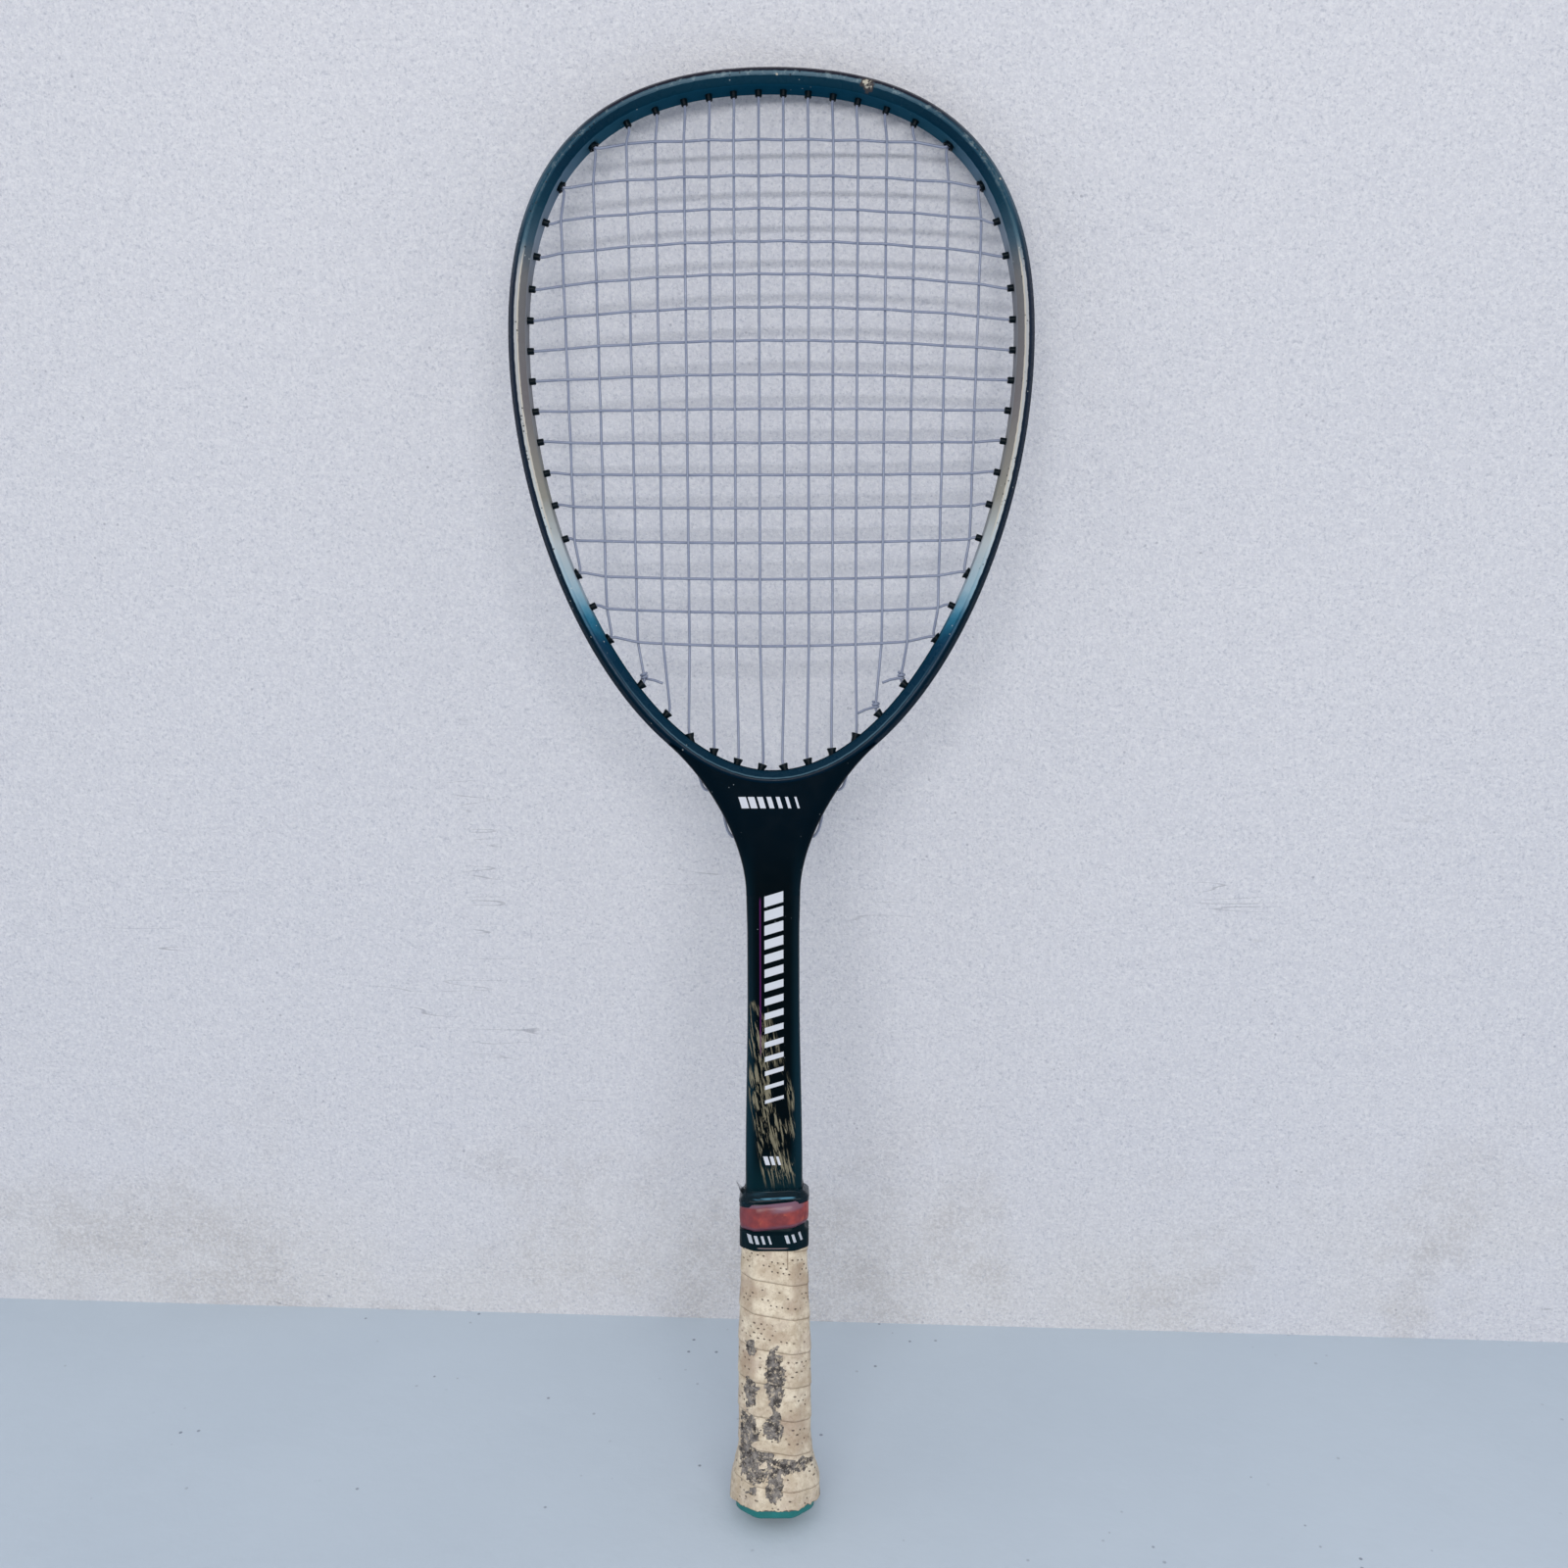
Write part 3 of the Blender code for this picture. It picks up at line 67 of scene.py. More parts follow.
# Strings
STRING_RADIUS = 0.65
STRING_OFFSET = 0.72
STRING_TAIL = 8.0
MAINS_PER_SIDE = 8
MAIN_PITCH = 11.7
MAIN_TO_SIDE = 14.3
WIDER_PITCHES = (1.0, 1.0, 1.2, 1.2)
MAIN_CONVERGENCE = 0.12
SIDE_ROWS = 11
ROW_SPREAD = 0.18
BOW_HEIGHT = 7.0
BOW_SPAN = 150.0
BOW_FOOT = 45.0
SAG_DEPTH = 3.0
STRING_STEP = 1.6
STRING_SIDES = 8
EDGE_LOOP_STAND = 0.35
EDGE_LOOP_RISE = 1.5
KNOT_STEPS = 20
KNOT_TURN_STEPS = 10
KNOT_CLEARANCE = 0.1
KNOT_RISE = 1.2
KNOT_PITCH = 1.45
KNOT_TAIL = (3.2, 3.6)

# Grommets
BARREL_RADIUS = 1.6
BORE_RADIUS = 0.8
SHARED_RADIUS = 2.3
SHARED_BORE = 1.5
BARREL_STAND = 3.0
MOUTH_LEAD = 0.8
SHARED_STAND = 1.9
STRIP_THICKNESS = 0.6
STRIP_EDGE = 0.25
STRIP_END = 0.035
STRIP_WIDTH = 5.5
STRIP_FACE = 6.1
STRING_LINE = STRIP_FACE + 0.45 + STRING_RADIUS
SHARED_TILT = 0.28

# Throat and shaft
THROAT_LENGTH = 51.0
SHOULDER_HALF_WIDTH = 49.5
SHOULDER_PULL = 22.0
WAIST_PULL = 27.0
EXIT_DROPS = (16.0, 22.5, 33.8, 45.6)
SHAFT_TOP_WIDTH = 25.8
SHAFT_WIDTH = 25.0
SHAFT_LOW_WIDTH = 27.4
SHAFT_DEPTH = 17.2
SHAFT_CORNER = 4.2
TAPER_TOP = 256.0
TAPER_FOOT = 166.0
SLOT_WIDTH = 7.2
SLOT_DEPTH = 1.3
SHAFT_STEPS = 48
THROAT_STEPS = 44
THROAT_INSET = 0.06

# Handle
HANDLE_TOP = 153.0
HANDLE_WIDTH = 29.8
HANDLE_DEPTH = 25.4
HANDLE_BEVEL = 6.0
HANDLE_EDGE = 1.8
HANDLE_TAPER = 1.6
TAPER_START = 80.0
TAPER_END = 124.0
FLARE = 4.15
FLARE_EDGE = 1.2
FLARE_LOW = 14.0
FLARE_TOP = 34.0
FLARE_CURVE = ((0.25, 0.55), (0.5, 0.28), (0.75, 0.08))
UNDERLAY_LOW = 5
UNDERLAY_HEIGHT = 147
UNDERLAY_BACK = 0.3
UNDERLAY_FACE = 1.4
WRAP_BACK = 1.7
WRAP_THICKNESS = 0.9
WRAP_LAP_RISE = 0.4
WRAP_LEAD = 16.5
WRAP_TOP = 138.2
WRAP_FOOT = 6.0
WRAP_LAP = 1.8
WRAP_START = 0.93
WRAP_FIRST_DROP = 8.9
WRAP_STEP = 0.75
WRAP_WEAR_DEPTH = 0.28
CAP_WALL = 1.6
CAP_HEIGHTS = (4, 6, 9, 12, 14, 16, 18, 20, 22, 24, 26, 28, 29.7)

# Places that follow from the sizes above
OPENING_TOP = OVERALL_LENGTH - HOOP_RADIAL
OPENING_BOTTOM = OPENING_TOP - OPENING_LENGTH
WIDEST_HEIGHT = OPENING_TOP - WIDEST_BELOW_TIP
THROAT_TOP = OPENING_BOTTOM - HOOP_RADIAL
THROAT_BOTTOM = THROAT_TOP - THROAT_LENGTH


# Materials
def rgb(red, green, blue):
    """A colour given in 0 to 255 as the eye sees it, turned into Blender's linear values."""
    def linear(value):
        value /= 255
        return value / 12.92 if value <= 0.04045 else ((value + 0.055) / 1.055) ** 2.4
    return (linear(red), linear(green), linear(blue), 1.0)


def operator(name, turned=False):
    def apply(self, other=0.0):
        return self.look.math(name, *((other, self) if turned else (self, other)))
    return apply


class Field:
    """A number that varies over a surface, and what the shader's nodes do with it."""

    __add__ = __radd__ = operator("ADD")
    __sub__ = operator("SUBTRACT")
    __rsub__ = operator("SUBTRACT", turned=True)
    __mul__ = __rmul__ = operator("MULTIPLY")
    __truediv__ = operator("DIVIDE")
    __pow__ = operator("POWER")
    __or__ = operator("MAXIMUM")
    __lt__ = operator("LESS_THAN")
    __gt__ = operator("GREATER_THAN")
    __abs__ = operator("ABSOLUTE")
    root = operator("SQRT")
    floor = operator("FLOOR")
    fract = operator("FRACT")

    def __init__(self, look, socket):
        self.look = look
        self.socket = socket

    def span(self, low, high, start=0.0, end=1.0):
        """Start below low, end above high, smooth between."""
        made = self.look.node("MapRange", Value=self)
        made.interpolation_type = "SMOOTHSTEP"
        for key, number in (("From Min", low), ("From Max", high), ("To Min", start), ("To Max", end)):
            made.inputs[key].default_value = number
        return Field(self.look, made.outputs["Result"])

    def within(self, low, inner_low, inner_high, high):
        """1 between the inner two levels, 0 beyond the outer two."""
        return self.span(low, inner_low) * self.span(high, inner_high)


class Look:
    """One material with a Principled shader, and a short call for each kind of node. Colours are 0 to 255."""

    def __init__(self, name, **sockets):
        self.material = bpy.data.materials.new(name)
        self.material.use_nodes = True
        self.tree = self.material.node_tree
        self.shader = self.tree.nodes["Principled BSDF"]
        self.point = self.node("TexCoord").outputs["Object"]
        self.paint = None
        for key, value in sockets.items():
            self.shader.inputs[key.replace("_", " ")].default_value = value

    def feed(self, socket, value):
        if isinstance(value, Field):
            value = value.socket
        if isinstance(value, bpy.types.NodeSocket):
            self.tree.links.new(value, socket)
        else:
            socket.default_value = rgb(*value) if isinstance(value, tuple) else value

    def node(self, kind, **inputs):
        made = self.tree.nodes.new("ShaderNode" + kind)
        for key, value in inputs.items():
            self.feed(made.inputs[key], value)
        return made

    def math(self, operation, *values, clamp=False):
        made = self.node("Math")
        made.operation = operation
        made.use_clamp = clamp
        for socket, value in zip(made.inputs, values):
            self.feed(socket, value)
        return Field(self, made.outputs[0])

    def mix(self, share, first, second):
        made = self.node("Mix")
        made.data_type = "RGBA"
        for index, value in ((0, share), (6, first), (7, second)):
            self.feed(made.inputs[index], value)
        return made.outputs[2]

    def coat(self, colour, share=None):
        """Paint the surface, or a share of it over what is there."""
        self.paint = colour if share is None else self.mix(share, self.paint, colour)
        self.feed(self.shader.inputs["Base Color"], self.paint)

    def levels(self, value, stops):
        """A colour that goes through stops of (value, colour)."""
        low, high = stops[0][0], stops[-1][0]
        made = self.node("ValToRGB", Fac=self.math("DIVIDE", value - low, high - low, clamp=True))
        elements = made.color_ramp.elements
        elements[0].color = rgb(*stops[0][1])
        elements[1].color = rgb(*stops[-1][1])
        for level, colour in stops[1:-1]:
            elements.new((level - low) / (high - low)).color = rgb(*colour)
        return made.outputs["Color"]

    def numbers(self, vector, scale):
        split = self.node("SeparateXYZ", Vector=vector)
        return [Field(self, socket) * scale for socket in split.outputs]

    def position(self):
        """The point on the object, in millimetres."""
        return self.numbers(self.point, 1 / MM)

    def mapped(self, name):
        """The two numbers of a UV map."""
        made = self.node("UVMap")
        made.uv_map = name
        return self.numbers(made.outputs[0], 1.0)[:2]

    def attribute(self, name):
        made = self.node("Attribute")
        made.attribute_name = name
        return Field(self, made.outputs["Fac"])

    def joined(self, x, y, z):
        """A texture's vector, in metres, from three numbers in millimetres."""
        made = self.node("VectorMath", Vector=self.node("CombineXYZ", X=x, Y=y, Z=z).outputs[0])
        made.operation = "SCALE"
        made.inputs["Scale"].default_value = MM
        return made.outputs[0]

    def noise(self, scale, detail=3.0, roughness=0.55, vector=None, distortion=0.0):
        made = self.node("TexNoise", Scale=scale, Detail=detail, Roughness=roughness, Distortion=distortion,
                         Vector=vector or self.point)
        return Field(self, made.outputs["Fac"])

    def stray(self, scale, size, detail=4.0):
        """Noise that moves a border by up to half a size either way."""
        return self.noise(scale, detail) * size - size / 2

    def cells(self, scale):
        """Distance to the nearest of scattered points."""
        return Field(self, self.node("TexVoronoi", Scale=scale, Vector=self.point).outputs["Distance"])

    def specks(self, scale, reach, cloud, low, high, detail=2.0):
        """Scattered dots, where a cloud of noise is thick."""
        return self.cells(scale).span(reach, reach / 2) * self.noise(cloud, detail).span(low, high)

    def near(self, points, size, ragged, scale):
        """1 near any of the (x, z, reach) spots on the front, with a ragged border."""
        x, y, z = self.position()
        wobble = self.stray(scale, ragged)
        total = 0.0
        for px, pz, reach in points:
            distance = ((x - px) ** 2.0 + (z - pz) ** 2.0).root() + wobble
            total = distance.span(reach, reach - size) | total
        return total * (y < 0.0)

    def bump(self, *layers):
        """Layers of (height, distance in millimetres), each on top of the one before."""
        normal = None
        for height, distance in layers:
            made = self.node("Bump", Height=height, Distance=distance * MM, Strength=1.0)
            if normal:
                self.feed(made.inputs["Normal"], normal)
            normal = made.outputs["Normal"]
        self.feed(self.shader.inputs["Normal"], normal)


# Meshes
def add_object(name, mesh, look):
    mesh.transform(Matrix.Scale(MM, 4))
    mesh.materials.append(look.material)
    item = bpy.data.objects.new(name, mesh)
    bpy.context.scene.collection.objects.link(item)
    return item


def add_piece(name, mesh, look, node):
    """A finished piece: it rides on the racket's one body and stands for its node."""
    item = add_object(name, mesh, look)
    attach(item, "root")
    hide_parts(node)


def smooth(mesh, degrees=40):
    mesh.shade_smooth()
    mesh.set_sharp_from_angle(angle=radians(degrees))
    return mesh


def grid_mesh(name, rows, closed_rows=False, closed_columns=True, caps=False, fans=False, uv=None):
    """A skin over rows of points. Fans have a point in the middle of each cap.

    uv is (name, u for each row, v for each column); where the skin closes, the last one is the seam's.
    """
    work = bmesh.new()
    layer = work.loops.layers.uv.new(uv[0]) if uv else None
    grid = [[work.verts.new(point) for point in row] for row in rows]
    high = len(rows) if closed_rows else len(rows) - 1
    wide = len(rows[0]) if closed_columns else len(rows[0]) - 1
    for i in range(high):
        for j in range(wide):
            i2, j2 = (i + 1) % len(rows), (j + 1) % len(rows[0])
            face = work.faces.new((grid[i][j], grid[i][j2], grid[i2][j2], grid[i2][j]))
            if uv:
                places = ((i, j), (i, j + 1), (i + 1, j + 1), (i + 1, j))
                for loop, (row, column) in zip(face.loops, places):
                    loop[layer].uv = (uv[1][row], uv[2][column])
    ends = [work.faces.new(grid[0]), work.faces.new(grid[-1])] if caps else []
    if fans:
        bmesh.ops.poke(work, faces=ends, center_mode="MEAN")
    bmesh.ops.recalc_face_normals(work, faces=work.faces)
    if work.calc_volume(signed=True) < 0:
        bmesh.ops.reverse_faces(work, faces=work.faces)
    mesh = bpy.data.meshes.new(name)
    work.to_mesh(mesh)
    work.free()
    return mesh


def arc_lengths(points, closed=False):
    total = 0.0
    lengths = [0.0]
    following = points[1:] + (points[:1] if closed else [])
    for here, after in zip(points, following):
        total += (after - here).length
        lengths.append(total)
    return lengths


def rounded_outline(corners, steps=4):
    """A closed 2D outline whose corners, given as (x, y, radius), are arcs."""
    outline = []
    count = len(corners)
    for i, (x, y, radius) in enumerate(corners):
        here = Vector((x, y))
        if not radius:
            outline.append(here)
            continue
        before = Vector(corners[i - 1][:2]) - here
        after = Vector(corners[(i + 1) % count][:2]) - here
        half = before.angle(after) / 2
        cut = min(radius / tan(half), before.length / 2.1, after.length / 2.1)
        reach = cut * tan(half)
        centre = here + (before.normalized() + after.normalized()).normalized() * (reach / sin(half))
        start = (here + before.normalized() * cut - centre).normalized()
        end = (here + after.normalized() * cut - centre).normalized()
        outline += [centre + start.slerp(end, step / steps) * reach for step in range(steps + 1)]
    return outline


def lathe_rows(profile, start, axis, sides=20, stretch=1.0, across=Vector((1, 0, 0))):
    """Rings round an axis: the profile is (distance along, radius, share of the stretch sideways)."""
    side = (across - axis * across.dot(axis)).normalized()
    other = axis.cross(side)
    rows = []
    for along, radius, widen in profile:
        wide = radius * (1 + (stretch - 1) * widen)
        rows.append([start + axis * along + side * wide * cos(2 * pi * k / sides) + other * radius *
                     sin(2 * pi * k / sides) for k in range(sides)])
    return rows


def joined_mesh(name, meshes):
    """Several meshes as one, each staying a body of its own."""
    work = bmesh.new()
    for mesh in meshes:
        work.from_mesh(mesh)
        bpy.data.meshes.remove(mesh)
    mesh = bpy.data.meshes.new(name)
    work.to_mesh(mesh)
    work.free()
    return mesh


def find_zero(measure, start, end):
    low, high = start, end
    for _ in range(40):
        middle = (low + high) / 2
        if (measure(low) > 0) == (measure(middle) > 0):
            low = middle
        else:
            high = middle
    return (low + high) / 2


# The rim line
def bezier(corners, t):
    a, b, c, d = corners
    s = 1 - t
    return a * s ** 3 + b * 3 * s * s * t + c * 3 * s * t * t + d * t ** 3


def bezier_slope(corners, t):
    a, b, c, d = corners
    s = 1 - t
    return (b - a) * 3 * s * s + (c - b) * 6 * s * t + (d - c) * 3 * t * t


TIP = Vector((0, OPENING_TOP))
SIDE = Vector((OPENING_WIDTH / 2, WIDEST_HEIGHT))
FOOT = Vector((0, OPENING_BOTTOM))
UPPER = (TIP, TIP + Vector((TIP_ROUNDNESS, 0)), SIDE + Vector((0, SHOULDER_ROUNDNESS)), SIDE)
LOWER = (SIDE, SIDE - Vector((0, FLANK_ROUNDNESS)), FOOT + Vector((FOOT_ROUNDNESS, 0)), FOOT)


def rim_frame(place):
    """The inner wall's XZ point at a place along the rim, and its outward normal."""
    place = (place + 2) % 4 - 2
    share = abs(place)
    corners = UPPER if share < 1 else LOWER
    local = share if share < 1 else share - 1
    point = bezier(corners, local)
    along = bezier_slope(corners, local)
    normal = Vector((-along.y, along.x)).normalized()
    if place < 0:
        point.x, normal.x = -point.x, -normal.x
    return point, normal


def rim_point(place, out=0.0):
    point, normal = rim_frame(place)
    return point + normal * out


def main_top_x(index):
    close = MAINS_PER_SIDE - len(WIDER_PITCHES)
    if index < close:
        return MAIN_PITCH * (index + 0.5)
    inner = MAIN_PITCH * (close - 0.5)
    outer = OPENING_WIDTH / 2 - MAIN_TO_SIDE
    return inner + (outer - inner) * sum(WIDER_PITCHES[:index - close + 1]) / sum(WIDER_PITCHES)


def main_x(index, height):
    """The mains draw together towards the throat, the outer ones most."""
    share = (OPENING_TOP - height) / OPENING_LENGTH
    top = main_top_x(index)
    return top * (1 - MAIN_CONVERGENCE * share * top / (OPENING_WIDTH / 2))


def main_places(index):
    def beside(place):
        point = rim_point(place)
        return point.x - main_x(index, point.y)
    return find_zero(beside, 0.0, 1.0), find_zero(beside, 1.0, 2.0)


MAIN_PLACES = [main_places(index) for index in range(MAINS_PER_SIDE)]
OUTER, SECOND = MAINS_PER_SIDE - 1, MAINS_PER_SIDE - 2
SHARED_PLACES = MAIN_PLACES[SECOND] + MAIN_PLACES[OUTER]


def height_place(height):
    return find_zero(lambda place: rim_point(place).y - height, 0.0, 2.0)


def row_places():
    """Rim places of the level rows, top to bottom. Two at each end share mains' holes."""
    top = rim_point(MAIN_PLACES[OUTER][0]).y
    low, last = MAIN_PLACES[OUTER][1], MAIN_PLACES[SECOND][1]
    bottom = rim_point(low).y
    middle = SIDE_ROWS / 2
    steps = [1 + ROW_SPREAD * ((i - middle) / middle) ** 2 for i in range(SIDE_ROWS + 1)]
    sides = [height_place(top - (top - bottom) * sum(steps[:i]) / sum(steps)) for i in range(1, SIDE_ROWS + 1)]
    between = height_place((bottom + rim_point(last).y) / 2)
    return [MAIN_PLACES[SECOND][0], MAIN_PLACES[OUTER][0]] + sides + [low, between, last]


ROW_PLACES = row_places()
TAIL_SHARE = STRING_TAIL / (rim_point(0.01) - rim_point(0.0)).length * 0.01


def row_height(row, x):
    """Height of a row at x: the old strings bow up in the upper head and sag in the lower head."""
    hole = rim_point(ROW_PLACES[row])
    bow_start = WIDEST_HEIGHT - BOW_FOOT
    level = hole.y - bow_start
    if level > 0:
        bow = BOW_HEIGHT * sin(pi * min(level / BOW_SPAN, 1))
    else:
        bow = SAG_DEPTH * level / (bow_start - rim_point(ROW_PLACES[-1]).y)
    return hole.y + bow * (1 - (x / hole.x) ** 2)


def crossing(main, side, row):
    height = row_height(row, main_top_x(main))
    for _ in range(3):
        x = main_x(main, height)
        height = row_height(row, x)
    return Vector((side * x, height))


def rows_of_main(main):
    margin = BARREL_STAND + MOUTH_LEAD + 2 * STRING_RADIUS
    upper, lower = (rim_point(place).y for place in MAIN_PLACES[main])
    return [row for row in range(len(ROW_PLACES)) if lower + margin < crossing(main, 1, row).y < upper - margin]


def weave(main, side, row):
    """+1 where the main passes behind the row, -1 where it passes in front."""
    column = main if side > 0 else -1 - main
    return 1 if (column + row) % 2 else -1


# Throat edge
def edge_corners():
    def beside(place):
        return rim_point(place, HOOP_RADIAL).x - SHOULDER_HALF_WIDTH
    place = find_zero(beside, 1.0, 2.0)
    shoulder = rim_point(place, HOOP_RADIAL)
    waist = Vector((SHAFT_TOP_WIDTH / 2, THROAT_BOTTOM))
    down = rim_frame(place)[1]
    along = Vector((down.y, -down.x))
    return shoulder, shoulder + along * SHOULDER_PULL, waist + Vector((0, WAIST_PULL)), waist


EDGE_CORNERS = edge_corners()


def edge_point(share, out=0.0):
    along = bezier_slope(EDGE_CORNERS, share).normalized()
    return bezier(EDGE_CORNERS, share) + Vector((-along.y, along.x)) * out


def edge_share(height):
    return find_zero(lambda share: bezier(EDGE_CORNERS, share).y - height, 0.0, 1.0)


EXIT_SHARES = [edge_share(EDGE_CORNERS[0].y - drop) for drop in EXIT_DROPS]


class Hole:
    """One string hole: its rim place, its outward axis and the depth at which it lies."""

    def __init__(self, place, y, shared=False, tilt=0.0, end=None):
        wall, normal = rim_frame(place)
        axis = Vector((normal.x, 0, normal.y))
        if end is not None:
            axis = Vector((end.x - wall.x, 0, end.y - wall.y)).normalized()
        elif tilt:
            axis = (axis - Vector((0, 0, tilt))).normalized()
        self.place = place
        self.wall = Vector((wall.x, y, wall.y))
        self.axis = axis
        self.end = end
        self.shared = shared

    def stand(self):
        return SHARED_STAND if self.shared else BARREL_STAND

    def tip(self):
        return self.wall - self.axis * self.stand()

    def mouth(self, y):
        point = self.tip() - self.axis * MOUTH_LEAD
        point.y = y
        return point


def main_hole(main, side, upper):
    place = MAIN_PLACES[main][0 if upper else 1]
    shared = main >= SECOND
    y = 0.0 if shared else STRING_OFFSET
    if not upper and main < len(EXIT_DROPS):
        point = edge_point(EXIT_SHARES[len(EXIT_DROPS) - 1 - main])
        return Hole(side * place, y, end=Vector((side * point.x, point.y)))
    return Hole(side * place, y, shared, tilt=0.0 if upper or not shared else SHARED_TILT)


def row_hole(row, side):
    place = ROW_PLACES[row]
    if place in SHARED_PLACES:
        return main_hole(SECOND if place in MAIN_PLACES[SECOND] else OUTER, side, place < 1)
    return Hole(side * place, -STRING_OFFSET)


def place_beyond(hole):
    """Rim place at which a hole's axis crosses the string line."""
    side = 1 if hole.place > 0 else -1

    def beside(place):
        reach = rim_point(place, STRING_LINE) - Vector((side * hole.wall.x, hole.wall.z))
        return reach.x * hole.axis.z - reach.y * side * hole.axis.x
    return side * find_zero(beside, side * hole.place - 0.1, side * hole.place + 0.1)


# Head, throat and shaft
def hoop_outline():
    """The hoop's section as closed (out, depth) points, and each one's way round from the inner middle."""
    half, wall = HOOP_DEPTH / 2, INNER_WALL_WIDTH / 2
    front = [(0, -wall, 1.6), (INNER_BEVEL, -half, 1.8), (HOOP_RADIAL - OUTER_BEVEL, -half, 1.5),
             (HOOP_RADIAL, -OUTER_WALL_WIDTH / 2, 1.5), (HOOP_RADIAL, -GROOVE_WIDTH / 2, 0.4),
             (HOOP_RADIAL - GROOVE_DEPTH, -GROOVE_WIDTH / 2, 0.3)]
    outline = rounded_outline(front + [(out, -depth, radius) for out, depth, radius in reversed(front)])
    lengths = arc_lengths(outline, closed=True)
    start = abs(outline[0].y)
    total = lengths[-1]
    return outline, [min(start + length, total - start - length) for length in lengths]


def rim_ring(place, outline):
    """An outline of (out, depth) points, set across the rim at a place."""
    wall, normal = rim_frame(place)
    return [Vector((wall.x + normal.x * point.x, point.y, wall.y + normal.y * point.x)) for point in outline]


def make_hoop(look):
    outline, across = hoop_outline()
    rows = [rim_ring(i / RIM_STEPS, outline) for i in range(-2 * RIM_STEPS, 2 * RIM_STEPS)]
    along = arc_lengths([row[0] for row in rows], closed=True)
    mesh = grid_mesh("head_hoop_skin", rows, closed_rows=True, uv=("band", along, across))
    add_piece("head_hoop_skin", smooth(mesh), look, "head_hoop")


def rim_height(x, out):
    return rim_point(find_zero(lambda place: rim_point(place, out).x - x, 1.0, 2.0), out).y


def side_notch(share):
    """Depth of the strip's seat in the throat's edge at a share along it."""
    low, high = EXIT_SHARES[0] - 0.07, EXIT_SHARES[-1] + 0.07
    reach = min(share - low, high - share) / 0.03
    return SLOT_DEPTH * max(0.01, min(1.0, reach))


def make_throat(look):
    top_x = EDGE_CORNERS[0].x
    tops = {}
    rows = []
    for i in range(THROAT_STEPS + 1):
        share = i / THROAT_STEPS
        edge = bezier(EDGE_CORNERS, share)
        lift = (edge.y - THROAT_BOTTOM) / (EDGE_CORNERS[0].y - THROAT_BOTTOM)
        half = SHAFT_DEPTH / 2 + (HOOP_DEPTH / 2 - THROAT_INSET - SHAFT_DEPTH / 2) * lift
        slot, notch = SLOT_WIDTH / 2, edge.x - side_notch(share)
        corners = [(edge.x, -half, SHAFT_CORNER), (edge.x, -slot, 0.3), (notch, -slot, 0.05),
                   (notch, slot, 0.05), (edge.x, slot, 0.3), (edge.x, half, SHAFT_CORNER)]
        corners += [(edge.x * k / 12, half, 0) for k in range(7, -8, -1)]
        ring = rounded_outline(corners + [(-x, -y, radius) for x, y, radius in corners])
        row = []
        for k, point in enumerate(ring):
            inward = min(abs(point.x / edge.x), 1.0)
            if k not in tops:
                tops[k] = rim_height(inward * top_x, HOOP_RADIAL - (OUTER_BEVEL + 0.2) * (1 - inward ** 8))
            row.append(Vector((point.x, point.y, THROAT_BOTTOM + (tops[k] - THROAT_BOTTOM) * lift)))
        rows.append(row)
    rows.insert(0, [Vector((point.x, 0, point.z)) for point in rows[0]])
    mesh = grid_mesh("throat_yoke_skin", rows)
    add_piece("throat_yoke_skin", smooth(mesh, 50), look, "throat_yoke")


def shaft_half_width(height):
    stations = ((HANDLE_TOP, SHAFT_LOW_WIDTH), (TAPER_FOOT, SHAFT_LOW_WIDTH), (TAPER_TOP, SHAFT_WIDTH),
                (THROAT_BOTTOM - 19, SHAFT_WIDTH), (THROAT_BOTTOM, SHAFT_TOP_WIDTH))
    for (low, width), (high, next_width) in zip(stations, stations[1:]):
        if height <= high:
            share = (height - low) / (high - low)
            return (width + (next_width - width) * share * share * (3 - 2 * share)) / 2
    return SHAFT_TOP_WIDTH / 2


def shaft_ring(height, grow=0.0):
    wide, deep = shaft_half_width(height) + grow, SHAFT_DEPTH / 2 + grow
    corners = [(wide, -deep), (wide, deep), (-wide, deep), (-wide, -deep)]
    ring = rounded_outline([(x, y, SHAFT_CORNER + grow) for x, y in corners], steps=8)
    return [Vector((point.x, point.y, height)) for point in ring]


def make_shaft(look):
    low = HANDLE_TOP + 0.3
    rows = [shaft_ring(low + (THROAT_BOTTOM - low) * i / SHAFT_STEPS) for i in range(SHAFT_STEPS + 1)]
    mesh = grid_mesh("shaft_tube_skin", rows, caps=True)
    add_piece("shaft_tube_skin", smooth(mesh), look, "shaft_tube")


# Grommets
def barrel_mesh(hole, low):
    """One bored barrel, from inside the frame to its tip. The lower ones flare into wedges."""
    radius = SHARED_RADIUS if hole.shared else BARREL_RADIUS
    bore = SHARED_BORE if hole.shared else BORE_RADIUS
    flare = 0.55 if low else 0.35 if hole.shared else 0.0
    length = hole.stand() + 2.5
    tip = radius * (1 + 0.25 * flare)
    profile = [(0, radius * 1.05, 0), (2.2, radius * 1.05, 0), (3.2, radius, 0.2 * flare),
               (length - 0.5, tip, flare), (length - 0.15, tip * 0.97, flare), (length, tip * 0.86, flare),
               (length, bore * 1.1, flare), (length - 0.4, bore, flare), (length - 2.4, bore, flare)]
    start = hole.wall + hole.axis * 2.5
    rows = lathe_rows(profile, start, -hole.axis, stretch=1.45, across=Vector((hole.axis.z, 0, -hole.axis.x)))
    return smooth(grid_mesh("barrel", rows, caps=True), 50)


def make_grommets(look, name, holes, strip, low=False):
    mesh = joined_mesh(name + "_moulding", [strip] + [barrel_mesh(hole, low) for hole in holes])
    add_piece(name + "_moulding", mesh, look, name)


